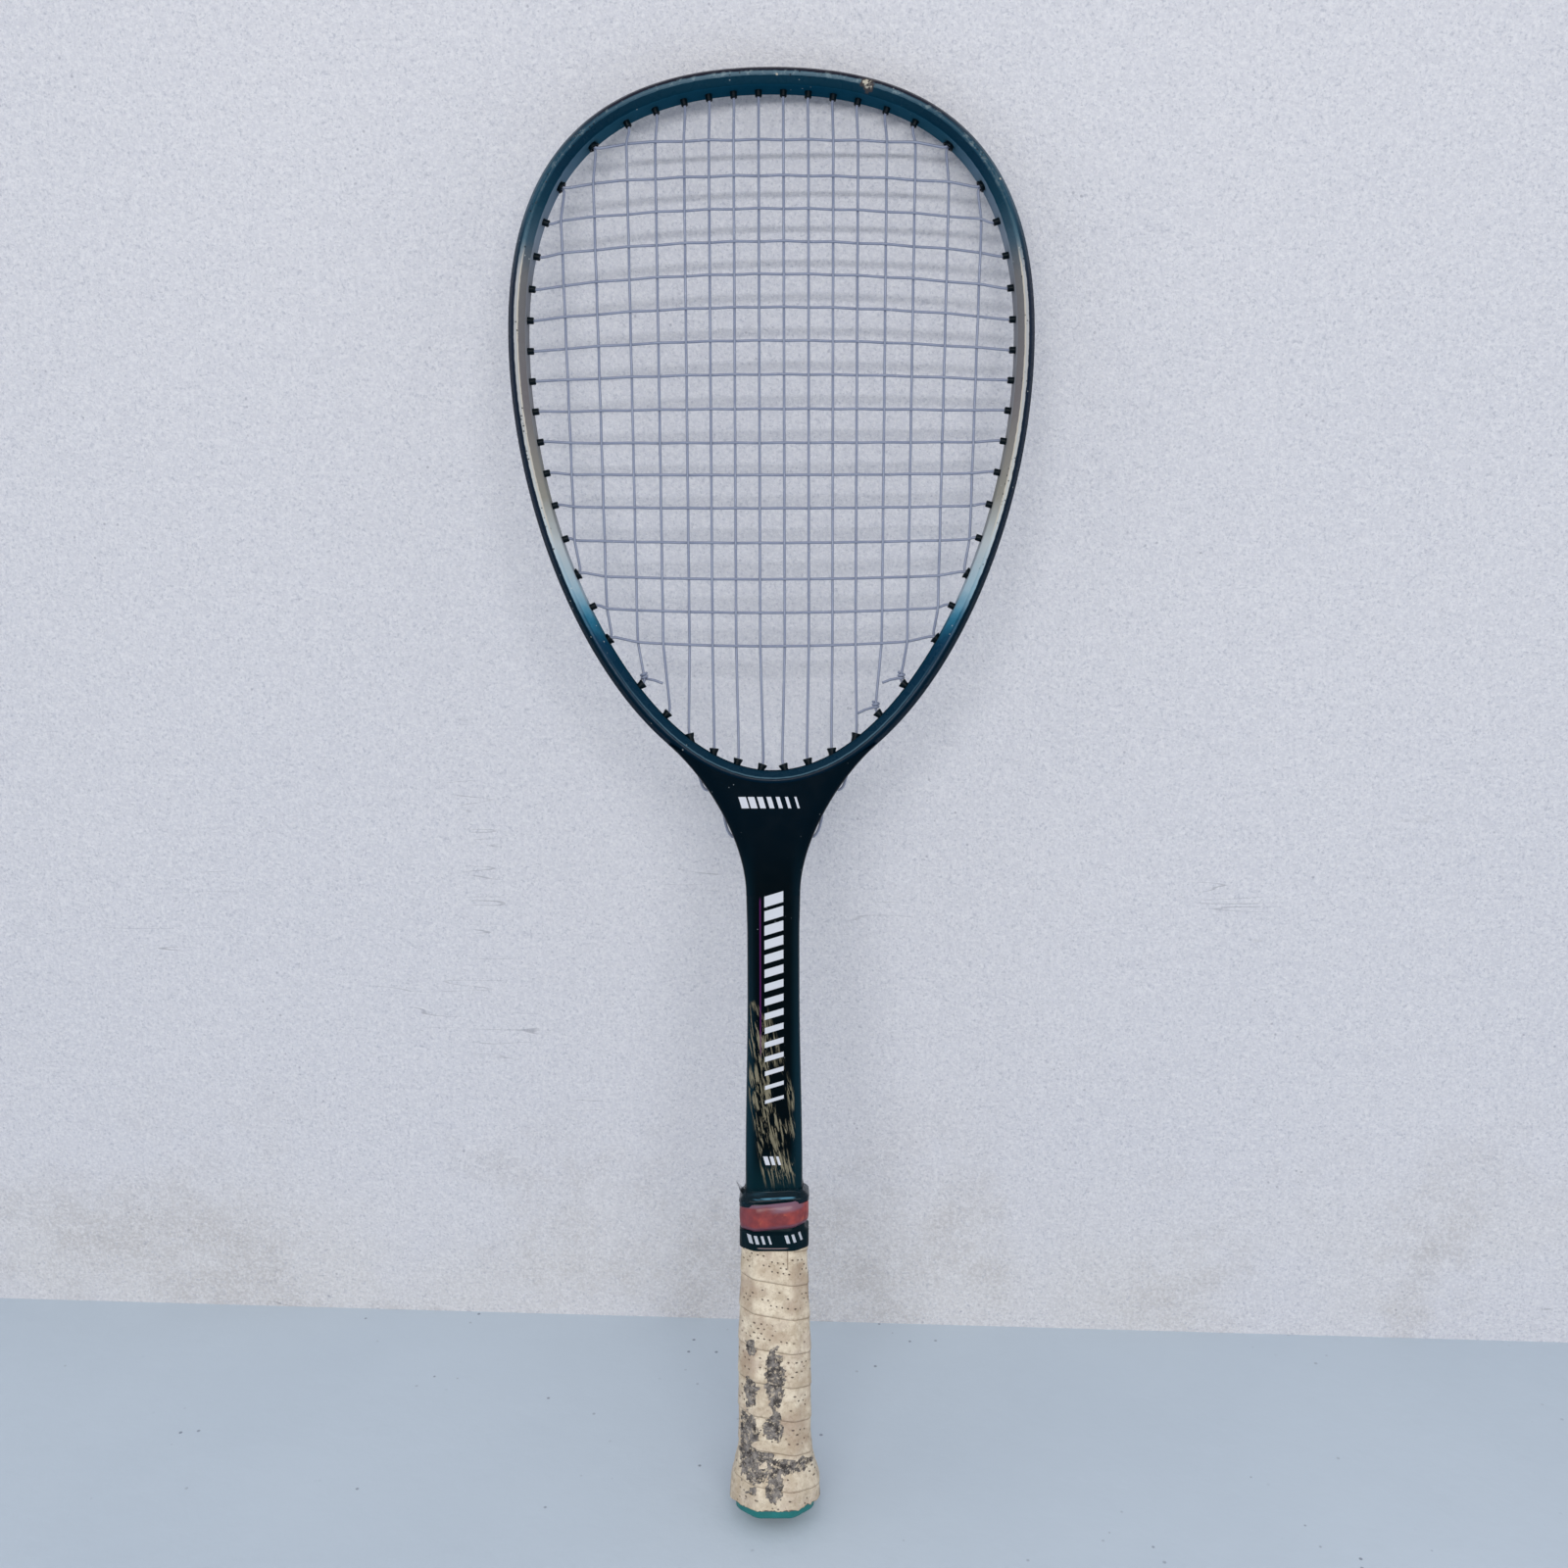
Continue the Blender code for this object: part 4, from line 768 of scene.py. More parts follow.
def groove_strip(holes):
    """The strip in the rim's groove that its holes' barrels stand on."""
    places = sorted(place_beyond(hole) for hole in holes)
    start, end = places[0] - STRIP_END, places[-1] + STRIP_END
    half, back = STRIP_WIDTH / 2, STRIP_FACE - STRIP_THICKNESS
    outline = rounded_outline([(back, -half, 0), (STRIP_FACE, -half, STRIP_EDGE), (STRIP_FACE, half, STRIP_EDGE),
                               (back, half, 0)])
    steps = max(2, int((end - start) * RIM_STEPS))
    rows = [rim_ring(start + (end - start) * i / steps, outline) for i in range(steps + 1)]
    return grid_mesh("strip", rows, caps=True)


def throat_strip(side):
    """The strip seated in the throat's edge."""
    shares = [EXIT_SHARES[0] - 0.05 + (EXIT_SHARES[-1] - EXIT_SHARES[0] + 0.1) * i / 24 for i in range(25)]
    half = SLOT_WIDTH / 2 - 0.3
    rows = []
    for share in shares:
        back, face = (edge_point(share, out) for out in (-SLOT_DEPTH + 0.2, -0.1))
        rows.append([Vector((side * point.x, y, point.y))
                     for point, y in ((back, -half), (face, -half), (face, half), (back, half))])
    return grid_mesh("strip", rows, caps=True)


def make_all_grommets(look):
    tops = [main_hole(main, side, True) for side in (-1, 1) for main in range(MAINS_PER_SIDE)]
    make_grommets(look, "grommet_strip_tip", tops, groove_strip(tops))
    for side, word in ((-1, "left"), (1, "right")):
        rows = [row_hole(row, side) for row, place in enumerate(ROW_PLACES) if place > MAIN_PLACES[OUTER][0]]
        make_grommets(look, "grommet_strip_" + word, rows, groove_strip(rows))
        lows = [main_hole(main, side, False) for main in range(len(EXIT_DROPS), SECOND)]
        make_grommets(look, "grommet_pair_lower_" + word, lows, groove_strip(lows), low=True)
        inner = [main_hole(main, side, False) for main in range(len(EXIT_DROPS))]
        make_grommets(look, "grommets_throat_" + word, inner, throat_strip(side), low=True)


# Strings
def groove_route(start, end, y):
    steps = max(2, int(abs(end - start) * RIM_STEPS))
    places = [start + (end - start) * i / steps for i in range(steps + 1)]
    return [Vector((point.x, y, point.y)) for point in (rim_point(place, STRING_LINE) for place in places)]


def edge_route(main, side, y):
    """The bare loop on the throat's edge, from a main's exit down to the next one's."""
    start, end = (EXIT_SHARES[len(EXIT_DROPS) - 1 - index] for index in (main, main - 1))
    points = []
    for i in range(13):
        share = start + (end - start) * i / 12
        point = edge_point(share, EDGE_LOOP_STAND + EDGE_LOOP_RISE * sin(pi * (i / 12) ** 1.4))
        points.append(Vector((side * point.x, y, point.y)))
    return points


def main_run(main, side):
    points = [main_hole(main, side, True).mouth(STRING_OFFSET)]
    for row in rows_of_main(main):
        point = crossing(main, side, row)
        points.append(Vector((point.x, STRING_OFFSET * weave(main, side, row), point.y)))
    return points + [main_hole(main, side, False).mouth(STRING_OFFSET)]


def main_link(main, side, upper):
    """From one main's hole to the next one inwards, outside the frame."""
    if upper and main == 0:
        return groove_route(*(place_beyond(main_hole(0, turn, True)) for turn in (side, -side)), STRING_OFFSET)
    if not upper and main < len(EXIT_DROPS):
        return edge_route(main, side, STRING_OFFSET)
    start, end = (place_beyond(main_hole(index, side, upper)) for index in (main, main - 1))
    return groove_route(start, end, STRING_OFFSET)


def half_main_route(side):
    start = place_beyond(main_hole(OUTER, side, True))
    points = groove_route(start - side * TAIL_SHARE, start, STRING_OFFSET)
    downwards = True
    for main in range(OUTER, -1, -1):
        run = main_run(main, side)
        points += run if downwards else run[::-1]
        if main > 0:
            points += main_link(main, side, not downwards)
        downwards = not downwards
    return points


def cross_route():
    """The cross string from its upper tied end on the left to its lower one."""
    side = -1
    columns = [(-1, main) for main in range(OUTER, -1, -1)] + [(1, main) for main in range(MAINS_PER_SIDE)]
    start = place_beyond(row_hole(0, side))
    points = groove_route(start + TAIL_SHARE, start, -STRING_OFFSET)
    for row in range(len(ROW_PLACES)):
        run = [row_hole(row, -1).mouth(-STRING_OFFSET)]
        for turn, main in columns:
            if row in rows_of_main(main):
                point = crossing(main, turn, row)
                run.append(Vector((point.x, -STRING_OFFSET * weave(main, turn, row), point.y)))
        run.append(row_hole(row, 1).mouth(-STRING_OFFSET))
        points += run if side < 0 else run[::-1]
        side = -side
        end = place_beyond(row_hole(row, side))
        last = row + 1 == len(ROW_PLACES)
        following = end + side * TAIL_SHARE if last else place_beyond(row_hole(row + 1, side))
        points += groove_route(end, following, -STRING_OFFSET)
    return points


def relaxed(points, step, rounds):
    """A route resampled at even steps and eased, as a string under tension rounds its corners."""
    dense = []
    for start, end in zip(points, points[1:]):
        count = max(1, round((end - start).length / step))
        dense += [start.lerp(end, i / count) for i in range(count)]
    dense.append(points[-1])
    for _ in range(rounds):
        inner = [(before + here * 2 + after) / 4 for before, here, after in zip(dense, dense[1:], dense[2:])]
        dense = [dense[0]] + inner + [dense[-1]]
    return dense


def tube_rows(points, radius, sides):
    """Rings of a round tube, carried along without twist."""
    side = None
    rows = []
    for i, point in enumerate(points):
        along = (points[min(i + 1, len(points) - 1)] - points[max(i - 1, 0)]).normalized()
        if side is None:
            side = along.orthogonal().normalized()
        side = (side - along * side.dot(along)).normalized()
        other = along.cross(side)
        rows.append([point + side * radius * cos(2 * pi * k / sides) + other * radius * sin(2 * pi * k / sides)
                     for k in range(sides)])
    return rows


def make_tube(look, name, points, node):
    mesh = grid_mesh(name, tube_rows(points, STRING_RADIUS, STRING_SIDES), caps=True)
    add_piece(name, smooth(mesh, 180), look, node)


def knot_route(main, side):
    """A half hitch round a main just inside its lower hole, with a short tail."""
    foot = main_hole(main, side, False).mouth(STRING_OFFSET)
    last_row = rows_of_main(main)[-1]
    last = crossing(main, side, last_row)
    axis = (Vector((last.x, STRING_OFFSET * weave(main, side, last_row), last.y)) - foot).normalized()
    across = Vector((-side, 0, 0))
    across = (across - axis * across.dot(axis)).normalized()
    around = axis.cross(across)
    radius = 2 * STRING_RADIUS + KNOT_CLEARANCE
    start = foot + axis * KNOT_RISE
    points = []
    for i in range(KNOT_STEPS + 1):
        turns = (KNOT_STEPS - i) / KNOT_TURN_STEPS
        turned = across * cos(2 * pi * turns) + around * sin(2 * pi * turns)
        points.append(start + turned * radius + axis * KNOT_PITCH * turns)
    tail = points[-1] + across * KNOT_TAIL[0] - around * radius * 0.5 - axis * 1.2
    return points + [tail, tail + across * KNOT_TAIL[1] - axis * 2.2]


def make_strings(look):
    left, right = half_main_route(-1), half_main_route(1)
    routes = {"main_string": left + main_link(0, -1, True) + right[::-1], "cross_string": cross_route()}
    for node, route in routes.items():
        make_tube(look, node + "_filament", relaxed(route, STRING_STEP / 2, 6)[::2], node)
    knots = ((SECOND - 1, -1, "left"), (SECOND - 1, 1, "right_upper"), (SECOND - 2, 1, "right_lower"))
    for main, side, word in knots:
        make_tube(look, "knot_" + word, relaxed(knot_route(main, side), 0.5, 2), "tie_off_knot_" + word)


# Handle
def grow_at(height):
    """How far the hard core stands out from the plain octagon."""
    curve = [(FLARE_LOW + share * (FLARE_TOP - FLARE_LOW), part * FLARE) for share, part in FLARE_CURVE]
    stations = [(0.0, FLARE - FLARE_EDGE), (FLARE_EDGE, FLARE), (FLARE_LOW, FLARE), *curve, (FLARE_TOP, 0.0),
                (TAPER_START, 0.0), (TAPER_END, -HANDLE_TAPER), (HANDLE_TOP, -HANDLE_TAPER)]
    if height >= HANDLE_TOP:
        return stations[-1][1]
    for (low, grow_low), (high, grow_high) in zip(stations, stations[1:]):
        if height <= high:
            return grow_low + (grow_high - grow_low) * (height - low) / (high - low)
    return 0.0


def eased_grow(height):
    reach = min(3, height / 2)
    return sum(grow_at(height + reach * k / 2) for k in range(-2, 3)) / 5


def octagon_samples(count):
    """Even samples round the handle's plain section, their outward normals and its girth."""
    wide, deep, cut = HANDLE_WIDTH / 2, HANDLE_DEPTH / 2, HANDLE_BEVEL
    corners = [(wide, -(deep - cut)), (wide, deep - cut), (wide - cut, deep), (-(wide - cut), deep),
               (-wide, deep - cut), (-wide, -(deep - cut)), (-(wide - cut), -deep), (wide - cut, -deep)]
    outline = rounded_outline([(x, y, HANDLE_EDGE * 2) for x, y in corners], steps=8)
    lengths = arc_lengths(outline, closed=True)
    outline.append(outline[0])
    samples = []
    index = 0
    for i in range(count):
        target = lengths[-1] * i / count
        while lengths[index + 1] < target:
            index += 1
        share = (target - lengths[index]) / (lengths[index + 1] - lengths[index])
        samples.append(outline[index].lerp(outline[index + 1], share))
    normals = []
    for i in range(count):
        along = samples[(i + 1) % count] - samples[i - 1]
        normals.append(Vector((along.y, -along.x)).normalized())
    return samples, normals, lengths[-1]


AROUND = 160
FOOT_ROUNDING = 0.3
CORE, CORE_NORMALS, CORE_GIRTH = octagon_samples(AROUND)


def handle_point(turn, height, layer):
    """A point round the handle at a turn (0 to 1 once round), a layer's distance off the hard core."""
    spot = turn % 1.0 * AROUND
    index = int(spot)
    share = spot - index
    here, after = index % AROUND, (index + 1) % AROUND
    normal = CORE_NORMALS[here].lerp(CORE_NORMALS[after], share)
    grow = eased_grow(height)
    if grow > 0:
        grow *= 1 - FOOT_ROUNDING * abs(2 * normal.x * normal.y)
    flat = CORE[here].lerp(CORE[after], share) + normal * (grow + layer)
    return Vector((flat.x, flat.y, height))


def handle_sleeve(name, stations, slant=0.0, uneven=0.0, solid=False):
    """A sleeve, or a cup if solid. Its stations are (height, layer), up the outside and down the inside."""
    rows = []
    for height, layer in stations:
        row = []
        for i in range(AROUND):
            point = handle_point(i / AROUND, height, layer)
            if uneven:
                point += Vector((point.x, point.y, 0)).normalized() * uneven * noise.noise(point * 0.18)
            row.append(point + Vector((0, 0, slant * point.x)))
        rows.append(row)
    return smooth(grid_mesh(name, rows, closed_rows=not solid, caps=solid, fans=solid), 50)


def ease(value, low, high):
    share = max(0.0, min(1.0, (value - low) / (high - low)))
    return share * share * (3 - 2 * share)


def blob(x, z, patches):
    """How deep a place lies in the (x, z, half width, half height) patches: 1 in a middle, 0 on a border."""
    return max(1 - sqrt(((x - px) / wide) ** 2 + ((z - pz) / high) ** 2) for px, pz, wide, high in patches)


# Worn places and stains on the front of the grip, in millimetres
WORN = ((0, 68, 4.6, 16), (-11.2, 83, 3, 4), (-11.6, 62, 3.2, 7), (-12, 34, 5.5, 20), (4, 25.5, 15, 3.6),
        (-0.3, 17, 4.4, 7.5), (-9, 24, 6, 6), (-0.5, 43, 4.8, 9), (-7, 32, 7, 8))
CREAM_ISLANDS = ((-6, 52.4, 5.2, 4), (-3.7, 35.5, 7.5, 4), (8.5, 34, 6, 5))
STAINED = ((11, 108, 6, 16), (-13, 108, 4, 12), (3, 88, 5, 4), (-12, 70, 5, 12), (11, 44, 7, 15))


def wear_at(point):
    x, z = point.x, point.z
    rough = 0.34 * noise.fractal(point * 0.26, 0.7, 2.1, 4) + 0.2 * noise.noise(point * 0.9)
    if point.y < 0:
        depth = blob(x, z, WORN) + rough
        return ease(depth, -0.02, 0.16) * (1 - ease(blob(x, z, CREAM_ISLANDS) + rough * 0.7, 0, 0.15))
    return ease(noise.fractal(point * 0.045, 0.7, 2.1, 4) + rough * 0.4, 0.42, 0.55) * ease(z, 100, 70)


def stain_at(point):
    x, z = point.x, point.z
    cloud = noise.fractal(point * 0.07, 0.8, 2.0, 4)
    front = ease(blob(x, z, STAINED) + cloud * 0.6, -0.1, 0.5) if point.y < 0 else 0.0
    return min(1.0, front * 0.8 + ease(cloud, 0.1, 0.9) * 0.5)


def make_wrap(look):
    """The grip tape as one strip wound down the handle, each turn lapped over the one below."""
    width = WRAP_LEAD + WRAP_LAP
    across = [0, 0.4, 0.9] + [1.6 + WRAP_STEP * k for k in range(23)]
    across = [value for value in across if value < width] + [width]
    rows, along, worn = [], [], {"wear": [], "stain": []}
    while True:
        travelled = WRAP_STEP * len(rows)
        low = WRAP_TOP - WRAP_FIRST_DROP - WRAP_LEAD * travelled / CORE_GIRTH
        if low + width < WRAP_FOOT + 1:
            break
        turns = WRAP_START + travelled / CORE_GIRTH
        row, rubs, stains = [], [], []
        for value in across:
            height = min(low + value, WRAP_TOP - 0.5)
            height = max(height, WRAP_FOOT + 1.5 * noise.fractal(Vector((turns * 50, 0, 7)), 0.6, 2.0, 4))
            layer = WRAP_BACK + WRAP_THICKNESS + WRAP_LAP_RISE * (1 - min(value / (0.45 * width), 1.0))
            layer -= 0.45 * ease(value, width - 2.4, width - 1.2) + 0.55 * (1 - ease(value, -0.2, 0.9))
            point = handle_point(turns, height, layer)
            rubs.append(wear_at(point))
            lump = 0.10 * noise.fractal(point * 0.12, 0.8, 2.0, 3) + 0.05 * noise.noise(point * 0.7)
            row.append(handle_point(turns, height, layer - WRAP_WEAR_DEPTH * rubs[-1] + lump))
            stains.append(stain_at(row[-1]))
        row += [handle_point(turns, point.z, WRAP_BACK - 0.1) for point in (row[-1], row[0])]
        rows.append(row)
        along.append(travelled)
        for name, values in (("wear", rubs), ("stain", stains)):
            worn[name] += values + [values[-1]] * 2
    uv = ("tape", along, across + [width, 0.0, 0.0])
    mesh = smooth(grid_mesh("grip_wrap_tape", rows, caps=True, uv=uv), 60)
    for name, values in worn.items():
        mesh.attributes.new(name, "FLOAT", "POINT").data.foreach_set("value", values)
    add_piece("grip_wrap_tape", mesh, look, "grip_wrap")


TAPE_WIDTH = 7.9
TAPE_LOW = WRAP_TOP - TAPE_WIDTH
BAND_BACK = UNDERLAY_FACE + 0.3
BAND_LOW = 140.3
BAND_WIDTH = 12.5
BAND_BULGE = 1.6
BAND_SLANT = 0.1


def make_cap(look):
    outside = [(0.0, -0.25), (0.5, 0.0), (1.2, 0.0), (2, 0.0)] + [(z, 0.0) for z in CAP_HEIGHTS]
    mesh = handle_sleeve("butt_cap_shell", outside + [(z, -CAP_WALL) for z in reversed(CAP_HEIGHTS)], solid=True)
    add_piece("butt_cap_shell", mesh, look, "butt_cap")


def make_underlay(look):
    heights = [UNDERLAY_LOW + UNDERLAY_HEIGHT * i / 60 for i in range(61)]
    mesh = handle_sleeve("grip_underlay_leather",
                         [(z, UNDERLAY_FACE) for z in heights] + [(z, UNDERLAY_BACK) for z in reversed(heights)])
    add_piece("grip_underlay_leather", mesh, look, "grip_underlay")


def make_tape(look):
    face = WRAP_BACK + WRAP_LAP_RISE + WRAP_THICKNESS
    tucked = UNDERLAY_FACE + 0.22
    stations = [(TAPE_LOW, face), (TAPE_LOW + 0.1, face + 0.4)]
    stations += [(TAPE_LOW + 7.8 * i / 8, face + 0.42) for i in range(1, 9)]
    stations += [(WRAP_TOP + 0.9, tucked + 0.4), (WRAP_TOP + 1.3, tucked), (BAND_LOW + 2.2, tucked),
                 (BAND_LOW + 2.2, tucked - 0.15), (WRAP_TOP + 0.8, tucked - 0.15), (WRAP_TOP, face)]
    mesh = handle_sleeve("finishing_tape_wrap", stations, uneven=0.12)
    add_piece("finishing_tape_wrap", mesh, look, "finishing_tape")


def make_band(look):
    stations = []
    for i in range(15):
        share = i / 14
        bulge = (1 - abs(2 * share - 1) ** 3.0) ** 0.5
        stations.append((BAND_LOW + BAND_WIDTH * share, BAND_BACK + 0.1 + BAND_BULGE * bulge))
    stations += [(BAND_LOW + BAND_WIDTH - 0.3, BAND_BACK), (BAND_LOW + 0.3, BAND_BACK)]
    mesh = handle_sleeve("rubber_band_ring", stations, BAND_SLANT, 0.25)
    add_piece("rubber_band_ring", mesh, look, "rubber_band")


def make_film(look):
    """Torn clear film between the band and the shaft: a creased skirt with one curled flap on the left."""
    low, top, steps = BAND_LOW + 11.2, HANDLE_TOP + 6.2, 14
    ring = shaft_ring(HANDLE_TOP + 3, 0.45)
    rows = []
    for i in range(steps + 1):
        share = i / steps
        row = []
        for point in ring:
            turn = atan2(point.y, point.x)
            out = Vector((point.x, point.y, 0)).normalized()
            flare = (2.2 + 2.0 * abs(out.y)) * (1 - ease(share, 0.3, 0.8))
            flare += 0.35 * noise.noise(Vector((cos(turn) * 3, sin(turn) * 3, share * 5)))
            wander = 0.9 * noise.noise(Vector((cos(turn) * 2, sin(turn) * 2, 4)))
            height = low + (top - low + wander) * share + BAND_SLANT * point.x * (1 - share)
            row.append(Vector((point.x, point.y, height)) + out * flare)
        rows.append(row)
    flap = []
    for i in range(11):
        share = i / 10
        out = 0.5 + 3.4 * sin(1.9 * share) * share ** 0.7
        up = HANDLE_TOP - 0.5 + 8.6 * share - 2.0 * share * share
        wide = 4.0 * (1 - 0.35 * share)
        turn = 0.35 * wide * share / 3
        edge = -SHAFT_LOW_WIDTH / 2 - out
        flap.append([Vector((edge - 0.3 * cos(3 * k) - turn * k, -2.5 + 0.7 * wide * k / 3,
                             up + 0.5 * wide * k / 3)) for k in range(-3, 4)])
    torn = grid_mesh("flap", flap, closed_columns=False)
    mesh = joined_mesh("clear_film_skirt", [grid_mesh("skirt", rows), torn])
    add_piece("clear_film_skirt", smooth(mesh, 180), look, "clear_film")


# Looks. In the hoop's paint, v runs from the middle of the inner wall round to the outer edge
def hoop_paint():
    look = Look("hoop paint", Roughness=0.26, Specular_IOR_Level=0.2)
    z = look.position()[2]
    v = look.mapped("band")[1] + look.stray(300, 0.7)
    level = z + look.stray(160, 8)
    wall = look.levels(level, (
        (359, (0, 28, 44)), (377, (2, 38, 54)), (419, (10, 54, 74)), (431, (60, 110, 132)),
        (444, (160, 176, 188)), (466, (160, 166, 172)), (489, (142, 142, 136)), (533, (140, 140, 144)),
        (587, (132, 134, 140)), (607, (132, 144, 158)), (639, (92, 118, 138)), (655, (42, 84, 104)),
        (678, (14, 64, 86))))
    # The inner bevel's colour up the rim. Along the sides it is held darker than the flat, a painted shade on
    # the face turned from the light.
    bevel_paint_and_shade = look.levels(level, (
        (359, (2, 38, 56)), (411, (2, 42, 64)), (421, (4, 50, 76)), (430, (40, 104, 132)), (436, (84, 136, 160)),
        (445, (148, 174, 188)), (466, (176, 184, 188)), (489, (140, 138, 130)), (533, (112, 108, 110)),
        (590, (108, 108, 110)), (607, (56, 80, 96)), (622, (14, 54, 72)), (640, (2, 40, 60)), (661, (0, 38, 56)),
        (680, (6, 48, 66))))
    flat = look.levels(level, (
        (359, (0, 23, 40)), (411, (0, 40, 62)), (422, (2, 48, 74)), (432, (28, 84, 110)), (444, (120, 152, 170)),
        (466, (166, 178, 186)), (489, (172, 176, 176)), (533, (164, 166, 168)), (590, (160, 162, 166)),
        (608, (60, 90, 106)), (622, (20, 60, 78)), (642, (20, 60, 80)), (661, (34, 68, 86)),
        (680, (74, 98, 112))))
    outer = look.levels(level, (
        (359, (0, 22, 38)), (435, (2, 26, 40)), (466, (14, 30, 46)), (533, (20, 32, 48)), (587, (32, 40, 55)),
        (607, (30, 52, 68)), (625, (46, 74, 92)), (642, (46, 72, 88)), (658, (42, 56, 70)), (668, (34, 36, 48)),
        (682, (30, 30, 42))))
    look.coat(wall)
    look.coat(bevel_paint_and_shade, v.span(5.8, 6.4))
    look.coat(flat, v.span(10.4, 10.7))
    # A pale line along the ridge between the inner bevel and the flat on the sides: a painted highlight.
    look.coat((190, 184, 174), v.within(10.3, 10.6, 11.0, 11.4) * z.within(460, 480, 592, 606))
    look.coat(outer, v.span(12.3, 12.6))
    chipped = look.cells(520).span(0.28, 0.16) * look.noise(60).span(0.48, 0.6)
    look.coat((24, 26, 34), chipped * v.within(9.4, 10.2, 12.6, 13.6) * 0.85)
    mottle = look.noise(260, 6, 0.72).span(0.52, 0.64, 0.0, 0.3) * z.span(618, 650)
    look.coat((160, 176, 180), mottle * v.within(10.4, 11.2, 12.4, 13.4))
    # Painted highlights on the lower hoop: a pale blue line along the ridge between bevel and flat, and a faint
    # pale line near the inner wall's edge.
    foot = z.span(425, 375)
    look.coat((84, 116, 132), v.within(10.3, 10.6, 11.0, 11.3) * foot * 0.6)
    look.coat((120, 150, 160), v.within(4.9, 5.2, 5.6, 6.0) * foot * 0.072)
    look.coat((64, 60, 62), look.near(((44.6, 676.6, 3.4),), 0.8, 7, 480))
    chips = look.near(((44.6, 676.6, 1.7),), 0.6, 8, 480)
    chips |= look.near(((2.9, 681, 0.6), (106.2, 633.5, 0.6)), 0.4, 2, 900)
    look.coat((184, 178, 164), chips * 0.9)
    look.coat((190, 196, 196), look.specks(260, 0.12, 40, 0.52, 0.62) * 0.6)
    gloss = v.span(5.5, 8, 0.0, 0.11) * v.span(11.8, 12.5, 1.0, 0.3)
    look.feed(look.shader.inputs["Specular IOR Level"], gloss)
    look.feed(look.shader.inputs["Roughness"], look.noise(150, 5).span(0.3, 0.75, 0.22, 0.36))
    look.bump((look.noise(900, 4), 0.05), (look.noise(60, 2), 0.25))
    return look


def bars(along, across, start, pitch, count, widest, narrowest, half):
    """A plain motif: a row of slanted bars, each a little slimmer than the one before."""
    place = (along + across * 0.3 - start) / pitch
    share = place.floor() * ((narrowest - widest) / (count - 1)) + widest
    return (place.fract() < share) * (place > 0.0) * (place < count) * (abs(across) < half)


def shaft_paint():
    look = Look("shaft paint", Roughness=0.2, Specular_IOR_Level=0.06)
    x, y, z = look.position()
    look.coat(look.mix(z.span(290, 345), (0, 7, 12), (0, 13, 23)))
    teal = look.mix(z.span(330, 190), (2, 20, 30), (8, 38, 50))
    look.coat(teal, abs(x).span(7.2, 12.4) * z.span(335, 300))
    look.coat((4, 33, 41), z.span(180, 160, 0.0, 0.85))
    slanted = x + z * 0.18
    streak = look.noise(950, 5, 0.65, look.joined(slanted, z * 0.09, 300), 0.4).span(0.5, 0.54)
    runs = look.noise(110, 3, 0.5, look.joined(slanted, z * 0.3, 900)).span(0.43, 0.5)
    left, right = (x + z * 0.16).span(20, 22), (x + z * 0.31).span(74.5, 71.5)
    field = left * right * x.span(10.6, 9.4) * z.within(157, 168, 258, 264) * (y < -7.2)
    gold = look.mix(look.noise(90), (104, 100, 80), (140, 134, 116))
    look.coat(gold, streak * runs * field * 0.85)
    front = y < -8
    ladder = bars(301 - z, x - 0.3, 0.0, 7.0, 15, 0.74, 0.24, 4.5)
    low_row = bars(x, z - 172.4, -4.6, 3.1, 3, 0.7, 0.4, 2.1)
    row = bars(x, z - 344.5, -15.5, 4.4, 7, 0.8, 0.24, 2.7)
    look.coat((206, 210, 220), (ladder | low_row | row) * front * 0.9)
    look.coat((92, 34, 98), abs(x + 6.2).span(0.5, 0.2) * z.within(220, 228, 297, 300) * front * 0.6)
    look.coat((140, 150, 156), look.specks(300, 0.1, 55, 0.54, 0.62) * 0.5)
    look.feed(look.shader.inputs["Roughness"], look.noise(130, 5).span(0.3, 0.8, 0.17, 0.25))
    look.bump((look.noise(50, 2), 0.12))
    return look


def string_look():
    look = Look("string", Roughness=0.36, Specular_IOR_Level=0.5)
    look.coat(look.mix(look.noise(90), (106, 115, 140), (138, 146, 167)))
    look.coat((178, 181, 192), look.noise(700).span(0.6, 0.75, 0.0, 0.4))
    look.bump((look.noise(1600), 0.02))
    return look


def grommet_look():
    look = Look("grommet", Roughness=0.34, Specular_IOR_Level=0.1)
    look.coat(look.mix(look.noise(300), (0, 9, 16), (4, 20, 29)))
    look.bump((look.noise(1200), 0.03))
    return look


